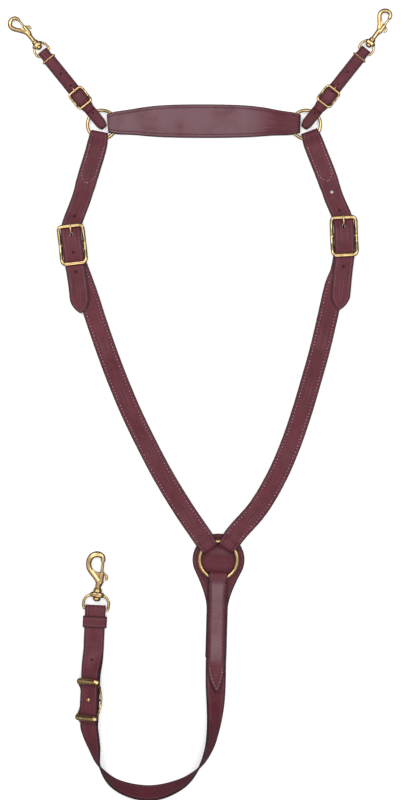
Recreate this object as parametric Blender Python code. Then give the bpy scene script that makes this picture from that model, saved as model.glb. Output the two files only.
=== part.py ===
"""Leather breast collar for a riding horse, laid out flat on a table, +Z up, in metres.

A wither strap and two shoulder straps make the neck opening between three brass rings.
Each shoulder strap hangs on a buckled billet, two short tugs reach out to snap on the
saddle, and a tie strap with a shield and a snap runs down to the girth.
"""

from math import atan2, cos, pi, radians, sin, sqrt, tan

import bmesh
import bpy
from mathutils import Matrix, Vector

MM = 0.001

# Gaps that pieces keep to their neighbours
CLEARANCE = 0.3 * MM
BAR_PLAY = 0.2 * MM
SIDE_PLAY = 0.9 * MM

# Leather
STRAP_WIDTH = 25.4 * MM
TUG_WIDTH = 15.6 * MM
LEATHER = 2.8 * MM
LINING = 2.2 * MM
FOLD_LEATHER = 2.4 * MM
TUG_LEATHER = 2.2 * MM
SHIELD_LEATHER = 2.8 * MM
EDGE_ROUND = 0.6 * MM
SKIVE = 2.0 * MM
THROAT = 4.0 * MM
EYE_WALL = 1.1 * MM
EYE_SLIT = 0.5 * MM
TURN_BACK = 62.0 * MM
HOLE_RADIUS = 2.1 * MM
TUG_HOLE_RADIUS = 1.5 * MM
ROUTE_STEP = 16.0 * MM

# Wither strap
WITHER_FOLD_WIDTH = 24.0 * MM
WITHER_END_WIDTH = 30.0 * MM
WITHER_MIDDLE_WIDTH = 42.5 * MM
WITHER_RISE = 4.6 * MM
WITHER_CROWN = 1.2 * MM
WITHER_FLARE = 14.0 * MM
WITHER_SHIFT = 0.6 * MM

# Rings
CORNER_RING_RADIUS = 18.0 * MM
CORNER_RING_WIRE = 2.0 * MM
CHEST_RING_RADIUS = 23.5 * MM
CHEST_RING_WIRE = 2.5 * MM
CORNER_RING_LEFT = Vector((-126.9, 346.9, 0)) * MM
CORNER_RING_RIGHT = Vector((128.1, 346.9, 0)) * MM
CHEST_RING = Vector((18.8, -196.3, 0)) * MM

# Ends of the straps where they fold round a ring
BILLET_FOLD_WIDTH = 21.0 * MM
CHEST_FOLD_WIDTH = 20.8 * MM
TIE_FOLD_WIDTH = 23.4 * MM
TUG_FOLD_WIDTH = 13.4 * MM
FOLD_FLARE = 16.0 * MM
BILLET_SHIFT = 0.7 * MM
TUG_LOOP_REACH = 3.4 * MM
TUG_LOOP_SHAPE = [
    # beyond the ring's centre, half width of the loop's pointed end
    (-3.0 * MM, 6.7 * MM),
    (0.0, 6.2 * MM),
    (3.0 * MM, 4.9 * MM),
    (5.6 * MM, 2.6 * MM),
]

# Shoulder buckles: a bowed rectangular frame with a bar across its middle
BUCKLE_WIRE = 1.65 * MM
BUCKLE_BAR = 1.7 * MM
BUCKLE_LENGTH = 40.0 * MM
BUCKLE_CORNER = 4.5 * MM
TONGUE_WIRE = 1.2 * MM
TONGUE_HOLE = 12.6 * MM
TONGUE_OVERHANG = 5.0 * MM
BUCKLE_LEFT = Vector((-163.6, 197.5, 0)) * MM
BUCKLE_RIGHT = Vector((175.4, 208.1, 0)) * MM
BUCKLE_LEFT_LEAN = radians(6.5)
BUCKLE_RIGHT_LEAN = radians(2.5)

# Tug buckles, small ones of the same kind
TUG_BUCKLE_WIRE = 1.1 * MM
TUG_BUCKLE_BAR = 1.1 * MM
TUG_BUCKLE_LENGTH = 22.2 * MM
TUG_BUCKLE_CORNER = 2.8 * MM
TUG_TONGUE_WIRE = 0.75 * MM
TUG_TONGUE_HOLE = 8.3 * MM
TUG_TONGUE_OVERHANG = 3.6 * MM
TUG_BUCKLE_FROM_SNAP = 72.0 * MM
TUG_KEEPER_WIRE = 0.75 * MM
TUG_KEEPER_FROM_SNAP = 9.6 * MM
TUG_KEEPER_TRAVEL = 22.0 * MM

# Tie strap, its buckle with a fixed stud, its keeper and the shield
TIE_BUCKLE_WIRE = 1.2 * MM
TIE_BUCKLE_END = 3.2 * MM
TIE_BUCKLE_LENGTH = 45.6 * MM
TIE_BUCKLE_CORNER = 3.4 * MM
TIE_STUD_RADIUS = 1.5 * MM
TIE_STUD_HEAD = 2.7 * MM
TIE_BUCKLE_TILT = 31.0
TIE_SIDE_PLAY = 0.4 * MM
TIE_BUCKLE_FROM_SNAP = 113.5 * MM
TIE_LINE_HEADING = radians(-92.7)
TIE_LEVEL_FROM_SNAP = 52.0 * MM
TIE_LOOP_SLACK = 1.2 * MM
TIE_STEP = 12.0 * MM
TIE_KEEPER_LEATHER = 2.0 * MM
TIE_KEEPER_LENGTH = 14.0 * MM
TIE_KEEPER_FROM_SNAP = 15.4 * MM
TIE_KEEPER_TRAVEL = 17.0 * MM
TIE_FRONT_LENGTH = 163.0 * MM
TIE_FRONT_POINT = 16.0 * MM
TIE_POINT_DROP = 0.2 * MM
TIE_HOLE = Vector((-137.5, -322.8, 0)) * MM
SHIELD_RADIUS = 32.5 * MM
SHIELD_TAIL_WIDTH = 28.6 * MM
SHIELD_TAIL_END = 124.0 * MM
SHIELD_SHOULDER = radians(45)
SHIELD_FLOW_END = 62.0 * MM
SHIELD_LEAN = radians(-1.6)

# Bolt snaps
SNAP_SMALL = 0.77
SNAP_SMALL_EXTRA = 6.0 * MM
SNAP_EYE_WIRE = 1.9 * MM
SNAP_SMALL_EYE_WIRE = 1.5 * MM
SNAP_EYE_LENGTH = 18.5 * MM
SNAP_EYE_PLAY = 1.2 * MM
SNAP_SMALL_EYE_PLAY = 0.8 * MM
SNAP_SMALL_EYE_LENGTH = 13.2 * MM
BOSS_HALF_LENGTH = 3.1 * MM
BOSS_HALF_WIDTH = 9.0 * MM
BOSS_FLATNESS = 0.56
STEM_RADIUS = 2.3 * MM
COLLAR_RADIUS = 5.4 * MM
NECK_RADIUS = 3.6 * MM
NECK_FROM = 9.5 * MM
BARREL_MOUTH = 29.0 * MM
BOLT_OFFSET = 2.6 * MM
BOLT_RADIUS = 1.8 * MM
BOLT_TAIL = 24.9 * MM
HOOK_TIP = 41.3 * MM
BOLT_TRAVEL = 7.5 * MM
BORE_FLOOR = 14.4 * MM
KNOB_AT = 26.2 * MM
KNOB_STEM = 1.3 * MM
WEB_THICKNESS = 4.6 * MM
SPRING_RADIUS = 1.4 * MM
SPRING_WIRE = 0.3 * MM
SPRING_TURNS = 4
SPRING_STEPS = 8
SWIVEL_PROFILE = [
    # x along the snap from the swivel, radius: ball, then collar and neck
    (-8.1 * MM, 1.8 * MM),
    (-7.2 * MM, 4.0 * MM),
    (-5.8 * MM, 5.0 * MM),
    (-4.4 * MM, 4.8 * MM),
    (4.0 * MM, COLLAR_RADIUS),
    (5.2 * MM, COLLAR_RADIUS),
    (5.7 * MM, 4.8 * MM),
    (6.2 * MM, COLLAR_RADIUS),
    (7.4 * MM, COLLAR_RADIUS),
    (8.0 * MM, NECK_RADIUS),
    (17.5 * MM, NECK_RADIUS),
    (20.5 * MM, 2.6 * MM),
]
BARREL_PROFILE = [
    (10.6 * MM, 1.2 * MM),
    (16.5 * MM, 3.8 * MM),
    (28.2 * MM, 3.8 * MM),
    (BARREL_MOUTH, 3.2 * MM),
]
HOOK_PATH = [
    # x along the snap, y to its left, radius of the hook there
    (HOOK_TIP, -BOLT_OFFSET, 2.7 * MM),
    (45.3 * MM, -2.3 * MM, 3.0 * MM),
    (48.7 * MM, -0.7 * MM, 3.4 * MM),
    (50.5 * MM, 4.6 * MM, 3.9 * MM),
    (49.3 * MM, 9.6 * MM, 3.8 * MM),
    (46.0 * MM, 13.1 * MM, 3.7 * MM),
    (41.9 * MM, 14.8 * MM, 3.6 * MM),
    (37.4 * MM, 15.1 * MM, 3.6 * MM),
    (33.4 * MM, 14.3 * MM, 3.5 * MM),
    (29.8 * MM, 12.4 * MM, 3.4 * MM),
    (25.6 * MM, 8.6 * MM, 3.3 * MM),
    (21.0 * MM, 4.2 * MM, 3.1 * MM),
    (16.0 * MM, 0.6 * MM, 2.9 * MM),
]
WEB_OUTLINE = [
    (16.5 * MM, -0.5 * MM),
    (27.6 * MM, -0.5 * MM),
    (28.2 * MM, 2.6 * MM),
    (29.3 * MM, 6.0 * MM),
    (31.4 * MM, 9.6 * MM),
    (29.8 * MM, 12.4 * MM),
    (25.6 * MM, 8.6 * MM),
    (21.0 * MM, 4.2 * MM),
]
SMALL_HOOK_PATH = [
    # the rounder hook of the small snap, in the measures of the large one
    (HOOK_TIP, -BOLT_OFFSET, 2.7 * MM),
    (45.2 * MM, -2.2 * MM, 3.0 * MM),
    (48.7 * MM, -0.2 * MM, 3.2 * MM),
    (50.6 * MM, 4.6 * MM, 3.4 * MM),
    (49.6 * MM, 9.2 * MM, 3.5 * MM),
    (46.6 * MM, 12.7 * MM, 3.5 * MM),
    (42.4 * MM, 14.4 * MM, 3.5 * MM),
    (38.2 * MM, 13.8 * MM, 3.5 * MM),
    (34.2 * MM, 11.3 * MM, 3.5 * MM),
    (29.6 * MM, 8.0 * MM, 3.4 * MM),
    (24.6 * MM, 4.6 * MM, 3.2 * MM),
    (19.8 * MM, 2.0 * MM, 3.0 * MM),
    (15.0 * MM, 0.4 * MM, 2.8 * MM),
]
SMALL_WEB_OUTLINE = [
    (18.0 * MM, -0.5 * MM),
    (28.0 * MM, -0.5 * MM),
    (29.2 * MM, 1.6 * MM),
    (32.6 * MM, 6.6 * MM),
    (36.0 * MM, 10.4 * MM),
    (34.2 * MM, 11.3 * MM),
    (29.6 * MM, 8.0 * MM),
    (24.6 * MM, 4.6 * MM),
]
THUMB_PATH = [
    # x along the snap, y from the bolt's axis, radius
    (KNOB_AT, 0.0, KNOB_STEM),
    (KNOB_AT, -4.2 * MM, KNOB_STEM),
    (25.2 * MM, -6.2 * MM, 1.6 * MM),
    (22.0 * MM, -7.0 * MM, 1.7 * MM),
    (18.6 * MM, -6.4 * MM, 1.2 * MM),
]
TUG_LEFT_SNAP = Vector((-199.0, 436.1, 0)) * MM
TUG_RIGHT_SNAP = Vector((200.6, 438.3, 0)) * MM
TIE_SNAP = Vector((-134.9, -258.4, 0)) * MM
TUG_LEFT_SNAP_HEADING = radians(129.7)
TUG_RIGHT_SNAP_HEADING = radians(54.8)
TIE_SNAP_HEADING = radians(83.2)

# Heights of the stacked layers
LAMINATE = LINING + CLEARANCE + LEATHER
SNAP_Z = COLLAR_RADIUS
TUG_LAMINATE = 2 * TUG_LEATHER
CORNER_RING_Z = CORNER_RING_WIRE + CLEARANCE + FOLD_LEATHER
SHIELD_TOP = SHIELD_LEATHER + CLEARANCE
CHEST_RING_Z = SHIELD_TOP + CHEST_RING_WIRE + CLEARANCE + FOLD_LEATHER
BUCKLE_BAR_Z = BUCKLE_BAR + CLEARANCE + FOLD_LEATHER
BILLET_OVER_BAR = 2 * BUCKLE_BAR_Z + CLEARANCE
TAIL_OVER_STRAP = LAMINATE + CLEARANCE
BUCKLE_END_Z = TAIL_OVER_STRAP + LEATHER + CLEARANCE + BUCKLE_WIRE
TUG_EYE_RADIUS = TUG_BUCKLE_BAR + BAR_PLAY + 2 * TUG_TONGUE_WIRE
TUG_BAR_Z = TUG_LEATHER + BAR_PLAY + TUG_EYE_RADIUS
TUG_FRONT_OVER_BAR = TUG_BAR_Z + TUG_EYE_RADIUS + BAR_PLAY
TUG_KEEPER_LIFT = 2 * TUG_KEEPER_WIRE + CLEARANCE
TIE_KEEPER_LIFT = TIE_KEEPER_LEATHER + CLEARANCE

# Colours, roughness
LEATHER_COLOUR = (0.125, 0.036, 0.048)
LINING_COLOUR = (0.16, 0.055, 0.06)
BRASS_COLOUR = (0.62, 0.43, 0.14)
STEEL_COLOUR = (0.55, 0.55, 0.55)


def clear_scene():
    """Remove whatever the scene holds."""
    for obj in list(bpy.data.objects):
        bpy.data.objects.remove(obj, do_unlink=True)


def material(name, colour, roughness, metallic):
    """A Principled material of one colour."""
    mat = bpy.data.materials.new(name)
    mat.use_nodes = True
    shader = mat.node_tree.nodes["Principled BSDF"]
    shader.inputs["Base Color"].default_value = (*colour, 1.0)
    shader.inputs["Roughness"].default_value = roughness
    shader.inputs["Metallic"].default_value = metallic
    return mat


def leather(name):
    """Burgundy bridle leather."""
    return material(name, LEATHER_COLOUR, 0.5, 0.0)


def brass(name):
    """Solid cast brass."""
    return material(name, BRASS_COLOUR, 0.25, 1.0)


def add_object(name, mesh_data, mat, placement=None, smooth_angle=40.0):
    """Link a finished bmesh as a named object at its placement."""
    bmesh.ops.recalc_face_normals(mesh_data, faces=mesh_data.faces)
    mesh = bpy.data.meshes.new(name)
    mesh_data.to_mesh(mesh)
    mesh_data.free()
    mesh.shade_smooth()
    mesh.set_sharp_from_angle(angle=radians(smooth_angle))
    mesh.materials.append(mat)
    obj = bpy.data.objects.new(name, mesh)
    bpy.context.scene.collection.objects.link(obj)
    if placement is not None:
        obj.matrix_world = placement
    return obj


def move_origin(obj, point):
    """Put the object's origin on a point, with the mesh left where it is."""
    obj.data.transform(Matrix.Translation(-point))
    obj.location = point
    return obj


def add_boolean(obj, tool, operation):
    """Join or cut an object with a helper solid that stays out of the model."""
    tool.hide_render = True
    tool.display_type = "WIRE"
    modifier = obj.modifiers.new(tool.name, "BOOLEAN")
    modifier.operation = operation
    modifier.solver = "EXACT"
    modifier.object = tool
    return obj


def blend(low, high, share):
    """Ease from one value to another."""
    share = min(max(share, 0.0), 1.0)
    return low + (high - low) * share * share * (3 - 2 * share)


def eased(points, s):
    """Value at s of a list of (s, value) points, eased between them."""
    if s <= points[0][0]:
        return points[0][1]
    for (s0, v0), (s1, v1) in zip(points, points[1:]):
        if s <= s1:
            return blend(v0, v1, (s - s0) / (s1 - s0))
    return points[-1][1]


def heading(angle):
    """Unit vector in the table's plane."""
    return Vector((cos(angle), sin(angle), 0))


def spline(points, steps=12):
    """Dense smooth curve through points of any number of values."""
    padded = [2 * points[0] - points[1], *points, 2 * points[-1] - points[-2]]
    curve = []
    for p0, p1, p2, p3 in zip(padded, padded[1:], padded[2:], padded[3:]):
        k01 = sqrt((p1 - p0).to_3d().length)
        k12 = sqrt((p2 - p1).to_3d().length)
        k23 = sqrt((p3 - p2).to_3d().length)
        m1 = (p2 - p1) + k12 * ((p1 - p0) / k01 - (p2 - p0) / (k01 + k12))
        m2 = (p2 - p1) + k12 * ((p3 - p2) / k23 - (p3 - p1) / (k12 + k23))
        for i in range(steps):
            t = i / steps
            a = 2 * t**3 - 3 * t**2 + 1
            b = t**3 - 2 * t**2 + t
            curve.append(a * p1 + b * m1 + (1 - a) * p2 + (t**3 - t**2) * m2)
    curve.append(points[-1].copy())
    return curve


class Route:
    """A strap's centre line: place, tangent, width direction and normal at each length s."""

    def __init__(self, points, tilts=None):
        tilts = tilts or [0.0] * len(points)
        four = [Vector((p[0], p[1], p[2], t * MM)) for p, t in zip(points, tilts)]
        self.points = spline(four)
        self.s = [0.0]
        for a, b in zip(self.points, self.points[1:]):
            self.s.append(self.s[-1] + (b - a).to_3d().length)
        self.length = self.s[-1]

    def sample(self, s):
        """Place and tilt, carried on in a straight line past the ends."""
        index = 1
        while index < len(self.s) - 1 and self.s[index] < s:
            index += 1
        share = (s - self.s[index - 1]) / (self.s[index] - self.s[index - 1])
        return self.points[index - 1].lerp(self.points[index], share)

    def frame(self, s):
        """Place, width direction (to the left of travel), normal and tangent."""
        reach = 0.8 * MM
        here = self.sample(s)
        tangent = (self.sample(s + reach) - self.sample(s - reach)).to_3d().normalized()
        side = Vector((-tangent.y, tangent.x, 0)).normalized()
        tilt = radians(here[3] / MM)
        up = tangent.cross(side)
        width = side * cos(tilt) + up * sin(tilt)
        normal = up * cos(tilt) - side * sin(tilt)
        return here.to_3d(), width, normal, tangent

    def nearest(self, point, after=0.0):
        """Length s at which the route passes a point, looked for after a length."""
        best = (1.0, 0.0)
        for a, b, s in zip(self.points, self.points[1:], self.s):
            run = b.to_3d().xy - a.to_3d().xy
            share = min(max((point.xy - a.to_3d().xy).dot(run) / run.length_squared, 0.0), 1.0)
            gap = (a.to_3d().xy + run * share - point.xy).length
            if s >= after and gap < best[0]:
                best = (gap, s + share * run.length)
        return best[1]


class Eye:
    """The opening through a strap's width where it wraps metal."""

    def __init__(self, start, full_from, full_to, end, centre, half, round_start, round_end, blunt=0.35):
        self.start = start
        self.full_from = full_from
        self.full_to = full_to
        self.end = end
        self.centre = centre
        self.half = half
        self.round_start = round_start
        self.round_end = round_end
        self.blunt = blunt

    def stations(self):
        marks = [self.start, self.full_from, self.full_to, self.end]
        if self.round_start:
            marks.append(self.full_from - (self.full_from - self.start) * cos(radians(50)))
        if self.round_end:
            marks.append(self.full_to + (self.end - self.full_to) * cos(radians(50)))
        return marks

    def opening(self, s):
        """Lower and upper height of the opening, or None outside it."""
        slack = 1e-7
        if s < self.start - slack or s > self.end + slack:
            return None
        share = 0.0
        rounded = False
        if s < self.full_from:
            share = (self.full_from - s) / (self.full_from - self.start)
            rounded = self.round_start
        elif s > self.full_to:
            share = (s - self.full_to) / (self.end - self.full_to)
            rounded = self.round_end
        height = sqrt(max(0.0, 1 - share * share)) if rounded else 1 - share
        height = self.half * max(height, self.blunt)
        return self.centre - height, self.centre + height


class Fold:
    """The round outside of a strap's folded end, between its tip and its full height."""

    def __init__(self, tip, full, centre, half):
        self.tip = tip
        self.full = full
        self.centre = centre
        self.half = half

    def stations(self):
        return [self.full - (self.full - self.tip) * cos(radians(a)) for a in (22, 45, 68, 90)]

    def holds(self, s):
        return min(self.tip, self.full) - 1e-7 <= s <= max(self.tip, self.full) + 1e-7

    def surfaces(self, s):
        share = (self.full - s) / (self.full - self.tip)
        height = self.half * sqrt(max(0.0, 1 - share * share))
        return self.centre - height, self.centre + height


class Strap:
    """A flat strap along a route, with eased heights and widths, eyes and folded ends."""

    def __init__(self, route, start, end):
        self.route = route
        self.start = start
        self.end = end
        self.low = []
        self.high = []
        self.half = []
        self.crown = []
        self.eyes = []
        self.folds = []
        self.spacing = ROUTE_STEP

    def bar_end(self, at, way, bar, leather_t, centre, slack=0.0):
        """Fold the strap round a straight bar; way is +1 where the strap runs on to higher s."""
        hole = bar + CLEARANCE
        outer = hole + leather_t
        self.add_fold(at, way, -hole - slack - leather_t, 0.0, centre, outer)
        self.add_eye(at, way, -hole - slack, 0.0, bar / 2, hole + slack + THROAT, centre, hole)
        return outer

    def ring_end(self, at, way, ring, wire, width, leather_t, centre, reach=None, shift=0.0):
        """Fold the strap round the wire of a ring whose centre the route starts or ends on."""
        hole = wire + CLEARANCE
        half = width / 2 + shift
        near = sqrt((ring - hole) ** 2 - half**2)
        full = sqrt(ring**2 - half**2)
        if reach is not None:
            near = reach
            full = reach + hole
        self.add_fold(at, way, near - leather_t, full, centre, hole + leather_t)
        self.add_eye(at, way, near, full, ring + wire / 2, ring + hole + THROAT, centre, hole)
        return near - leather_t

    def add_fold(self, at, way, tip, full, centre, half):
        fold = Fold(at + way * tip, at + way * full, centre, half)
        self.folds.append(fold)
        if way > 0:
            self.start = fold.stations()[0]
        else:
            self.end = fold.stations()[0]

    def add_eye(self, at, way, start, full_from, full_to, end, centre, half):
        marks = [at + way * m for m in (start, full_from, full_to, end)]
        if way < 0:
            marks.reverse()
        self.eyes.append(Eye(*marks, centre, half, way > 0, way < 0))

    def stations(self):
        """All lengths at which the strap gets a section."""
        marks = [self.start, self.end]
        for fold in self.folds:
            marks += fold.stations()
        for eye in self.eyes:
            marks += eye.stations()
        for points in (self.low, self.high, self.half):
            marks += [p[0] for p in points]
        fixed = {self.start, self.end}
        for eye in self.eyes:
            fixed |= {eye.start, eye.end}
        marks = sorted(m for m in marks if self.start - 1e-7 <= m <= self.end + 1e-7)
        kept = []
        for mark in marks:
            if kept and mark - kept[-1] < 0.35 * MM:
                if mark in fixed and kept[-1] not in fixed:
                    kept[-1] = mark
                continue
            kept.append(mark)
        filled = [kept[0]]
        for mark in kept[1:]:
            gap = mark - filled[-1]
            count = max(1, int(gap / self.spacing + 0.99))
            filled += [filled[-1] + gap * (i + 1) / count for i in range(count)]
        return filled

    def surfaces(self, s):
        for fold in self.folds:
            if fold.holds(s):
                return fold.surfaces(s)
        return eased(self.low, s), eased(self.high, s)

    def section(self, data, s):
        """Vertices of one cross-section, for both edges of the strap."""
        low, high = self.surfaces(s)
        half = eased(self.half, s)
        crown = eased(self.crown, s) if self.crown else 0.0
        opening = None
        for eye in self.eyes:
            opening = opening or eye.opening(s)
        if opening:
            middle = min(max(sum(opening) / 2, low + EYE_WALL), high - EYE_WALL)
            floor = min(max(opening[0], low + EYE_WALL), middle - EYE_SLIT / 2)
            ceiling = max(min(opening[1], high - EYE_WALL), middle + EYE_SLIT / 2)
            opening = (floor, ceiling)
        place, width, normal, _ = self.route.frame(s)
        edge = min(EDGE_ROUND, 0.3 * (high - low), 0.3 * half)

        def vert(across, height):
            return data.verts.new(place + width * across + normal * height)

        sides = []
        for side in (-1, 1):
            ring = {
                "base": vert(side * (half - edge), low),
                "foot": vert(side * half, low + edge),
                "brow": vert(side * half, high - edge),
                "top": vert(side * (half - edge), high),
            }
            if opening:
                ring["sill"] = vert(side * half, opening[0])
                ring["lintel"] = vert(side * half, opening[1])
            sides.append(ring)
        ridge = vert(0.0, high + crown) if self.crown else None
        return {"sides": sides, "open": bool(opening), "ridge": ridge}

    def mesh(self):
        """The closed solid between the first and the last section."""
        data = bmesh.new()
        sections = [self.section(data, s) for s in self.stations()]
        for here, there in zip(sections, sections[1:]):
            self.join(data, here, there)
        for end in (sections[0], sections[-1]):
            left, right = end["sides"]
            loop = [left["base"], left["foot"], left["brow"], left["top"]]
            loop += [end["ridge"]] if end["ridge"] else []
            loop += [right["top"], right["brow"], right["foot"], right["base"]]
            data.faces.new(loop)
        return data

    def join(self, data, here, there):
        """Faces between two neighbouring sections."""
        a0, a1 = here["sides"]
        b0, b1 = there["sides"]
        hollow = here["open"] and there["open"]
        if here["ridge"]:
            data.faces.new([a0["top"], b0["top"], there["ridge"], here["ridge"]])
            data.faces.new([here["ridge"], there["ridge"], b1["top"], a1["top"]])
        else:
            data.faces.new([a0["top"], b0["top"], b1["top"], a1["top"]])
        data.faces.new([a0["base"], a1["base"], b1["base"], b0["base"]])
        for a, b in ((a0, b0), (a1, b1)):
            data.faces.new([a["base"], b["base"], b["foot"], a["foot"]])
            data.faces.new([a["brow"], b["brow"], b["top"], a["top"]])
            if hollow:
                data.faces.new([a["foot"], b["foot"], b["sill"], a["sill"]])
                data.faces.new([a["lintel"], b["lintel"], b["brow"], a["brow"]])
            else:
                loop = [a["foot"], b["foot"]]
                loop += [b["sill"], b["lintel"]] if there["open"] else []
                loop += [b["brow"], a["brow"]]
                loop += [a["lintel"], a["sill"]] if here["open"] else []
                data.faces.new(loop)
        if hollow:
            data.faces.new([a0["sill"], b0["sill"], b1["sill"], a1["sill"]])
            data.faces.new([a0["lintel"], b0["lintel"], b1["lintel"], a1["lintel"]])
        elif here["open"]:
            data.faces.new([a0["sill"], a0["lintel"], a1["lintel"], a1["sill"]])
        elif there["open"]:
            data.faces.new([b0["sill"], b0["lintel"], b1["lintel"], b1["sill"]])


def tube_mesh(data, points, radii, sides, closed=False, phase=0.5):
    """Sweep a round section along points, with flat ends or as a closed loop."""
    count = len(points)
    tangents = []
    for i in range(count):
        before = points[i - 1] if i or closed else points[i]
        after = points[(i + 1) % count] if i < count - 1 or closed else points[i]
        tangents.append((after - before).normalized())
    helper = Vector((0, 0, 1)) if abs(tangents[0].z) < 0.9 else Vector((1, 0, 0))
    across = tangents[0].cross(helper).normalized()
    rings = []
    for point, tangent, radius in zip(points, tangents, radii):
        across = (across - tangent * across.dot(tangent)).normalized()
        other = tangent.cross(across)
        ring = []
        for k in range(sides):
            angle = 2 * pi * (k + phase) / sides
            ring.append(data.verts.new(point + (across * cos(angle) + other * sin(angle)) * radius))
        rings.append(ring)
    pairs = list(zip(rings, rings[1:]))
    if closed:
        pairs.append((rings[-1], rings[0]))
    for a, b in pairs:
        for k in range(sides):
            n = (k + 1) % sides
            data.faces.new([a[k], b[k], b[n], a[n]])
    if not closed:
        data.faces.new(rings[0])
        data.faces.new(rings[-1])
    return data


def tube(points, radius, sides, closed=False):
    """A tube of one radius, or of a radius for each point."""
    radii = radius if isinstance(radius, list) else [radius] * len(points)
    return tube_mesh(bmesh.new(), points, radii, sides, closed)


def lathe(profile, segments, squash=1.0):
    """Turn (x, radius) points about the local X axis; squash flattens it along Z."""
    data = bmesh.new()
    rings = []
    for x, radius in profile:
        if radius <= 0:
            rings.append([data.verts.new((x, 0, 0))])
            continue
        angles = [2 * pi * (k + 0.5) / segments for k in range(segments)]
        rings.append(
            [data.verts.new((x, radius * cos(a), radius * squash * sin(a))) for a in angles]
        )
    for a, b in zip(rings, rings[1:]):
        for k in range(segments):
            n = (k + 1) % segments
            loop = [a[k % len(a)], b[k % len(b)], b[n % len(b)], a[n % len(a)]]
            unique = []
            for vert in loop:
                if vert not in unique:
                    unique.append(vert)
            data.faces.new(unique)
    for ring in (rings[0], rings[-1]):
        if len(ring) > 1:
            data.faces.new(ring)
    return data


def ring_mesh(radius, wire, segments, sides):
    """A round ring of round wire in the plane of the table."""
    points = [heading(2 * pi * i / segments) * radius for i in range(segments)]
    return tube(points, wire, sides, closed=True)


def block(low, high):
    """A box between two corners."""
    data = bmesh.new()
    size = Vector(high) - Vector(low)
    bmesh.ops.create_cube(data, size=1.0)
    bmesh.ops.scale(data, vec=size, verts=data.verts)
    bmesh.ops.translate(data, vec=(Vector(high) + Vector(low)) / 2, verts=data.verts)
    return data


def placement(point, angle, tilt=0.0):
    """Local X along a heading in the table's plane, tilted about that heading."""
    turn = Matrix.Rotation(angle, 4, "Z") @ Matrix.Rotation(tilt, 4, "X")
    return Matrix.Translation(point) @ turn


def punch(strap_object, route, marks, radius, low, high, name="_punch"):
    """Cut round holes through a strap at each (s, across) of marks."""
    data = bmesh.new()
    for s, across in marks:
        place, width, normal, _ = route.frame(s)
        centre = place + width * across
        ends = [centre + normal * low, centre + normal * high]
        tube_mesh(data, ends, [radius] * 2, 8)
    cutter = add_object(strap_object.name + name, data, strap_object.data.materials[0])
    return add_boolean(strap_object, cutter, "DIFFERENCE")


def slot(strap_object, route, s, length, width, low, high):
    """Cut a straight slot through a strap, along its run."""
    place, _, _, tangent = route.frame(s)
    data = block((-length / 2, -width / 2, low), (length / 2, width / 2, high))
    at = placement(place, atan2(tangent.y, tangent.x))
    name = strap_object.name + "_slot"
    cutter = add_object(name, data, strap_object.data.materials[0], at)
    return add_boolean(strap_object, cutter, "DIFFERENCE")


def sized(pairs):
    """Half widths from (s, width) pairs."""
    return [(s, width / 2) for s, width in pairs]


def lining(name, route, start, end, widths, low=None):
    """A lining under the middle of a folded strap."""
    strap = Strap(route, start, end)
    strap.low = low or [(start, 0.0)]
    strap.high = [(s, z + LINING) for s, z in strap.low]
    strap.half = sized(widths)
    mat = material(name, LINING_COLOUR, 0.7, 0.0)
    return add_object(name, strap.mesh(), mat)


def doubled_heights(strap, start_full, start_throat, end_throat, end_full, tops, lows):
    """Heights of a lined strap: full at both eyes, two layers at the turns, one between."""
    top0, top1 = tops
    low0, low1 = lows
    first = start_throat + TURN_BACK
    last = end_throat - TURN_BACK
    bed = LINING + CLEARANCE
    strap.low = [
        (start_full, low0),
        (first, 0.0),
        (first + SKIVE, bed),
        (last - SKIVE, bed),
        (last, 0.0),
        (end_throat - 14 * MM, 0.0),
        (end_throat, low1),
    ]
    strap.high = [
        (start_full, top0),
        (start_throat + SKIVE, low0 + LAMINATE),
        (end_throat - 14 * MM, LAMINATE),
        (end_throat - SKIVE, low1 + LAMINATE),
        (end_full, top1),
    ]
    return first + SKIVE + CLEARANCE, last - SKIVE - CLEARANCE


def build_wither_strap():
    """The broad strap over the withers, its ends folded round the corner rings."""
    left = CORNER_RING_LEFT
    right = CORNER_RING_RIGHT
    shift = Vector((0, WITHER_SHIFT, 0))
    middle = (left + right) / 2 + Vector((0, WITHER_RISE, 0))
    route = Route([left + shift, middle, right + shift])
    length = route.length
    strap = Strap(route, 0.0, length)
    ring = (CORNER_RING_RADIUS, CORNER_RING_WIRE, WITHER_FOLD_WIDTH, FOLD_LEATHER, CORNER_RING_Z)
    tip = strap.ring_end(0.0, 1, *ring, shift=WITHER_SHIFT)
    strap.ring_end(length, -1, *ring, shift=WITHER_SHIFT)
    full = CORNER_RING_RADIUS + CORNER_RING_WIRE / 2
    throat = CORNER_RING_RADIUS + CORNER_RING_WIRE + CLEARANCE + THROAT
    ends = doubled_heights(
        strap, full, throat, length - throat, length - full, (2 * CORNER_RING_Z,) * 2, (0.0, 0.0)
    )
    flare = throat + WITHER_FLARE
    widths = [
        (tip + 3 * MM, WITHER_FOLD_WIDTH),
        (throat, WITHER_FOLD_WIDTH + 1.2 * MM),
        (flare, WITHER_END_WIDTH),
        (length / 2, WITHER_MIDDLE_WIDTH),
    ]
    widths += [(length - s, width) for s, width in reversed(widths[:3])]
    strap.half = sized(widths)
    strap.crown = [(full, 0.0), (flare, WITHER_CROWN), (length - flare, WITHER_CROWN), (length - full, 0.0)]
    add_object("wither_strap", strap.mesh(), leather("wither_strap"))
    lining("wither_lining", route, ends[0], ends[1], widths)


def build_corner_rings():
    """Rings that join the wither strap, a billet and a tug on each side."""
    for side, centre in (("left", CORNER_RING_LEFT), ("right", CORNER_RING_RIGHT)):
        name = "corner_ring_" + side
        data = ring_mesh(CORNER_RING_RADIUS, CORNER_RING_WIRE, 28, 8)
        at = Matrix.Translation(centre + Vector((0, 0, CORNER_RING_Z)))
        add_object(name, data, brass(name), at)


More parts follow.
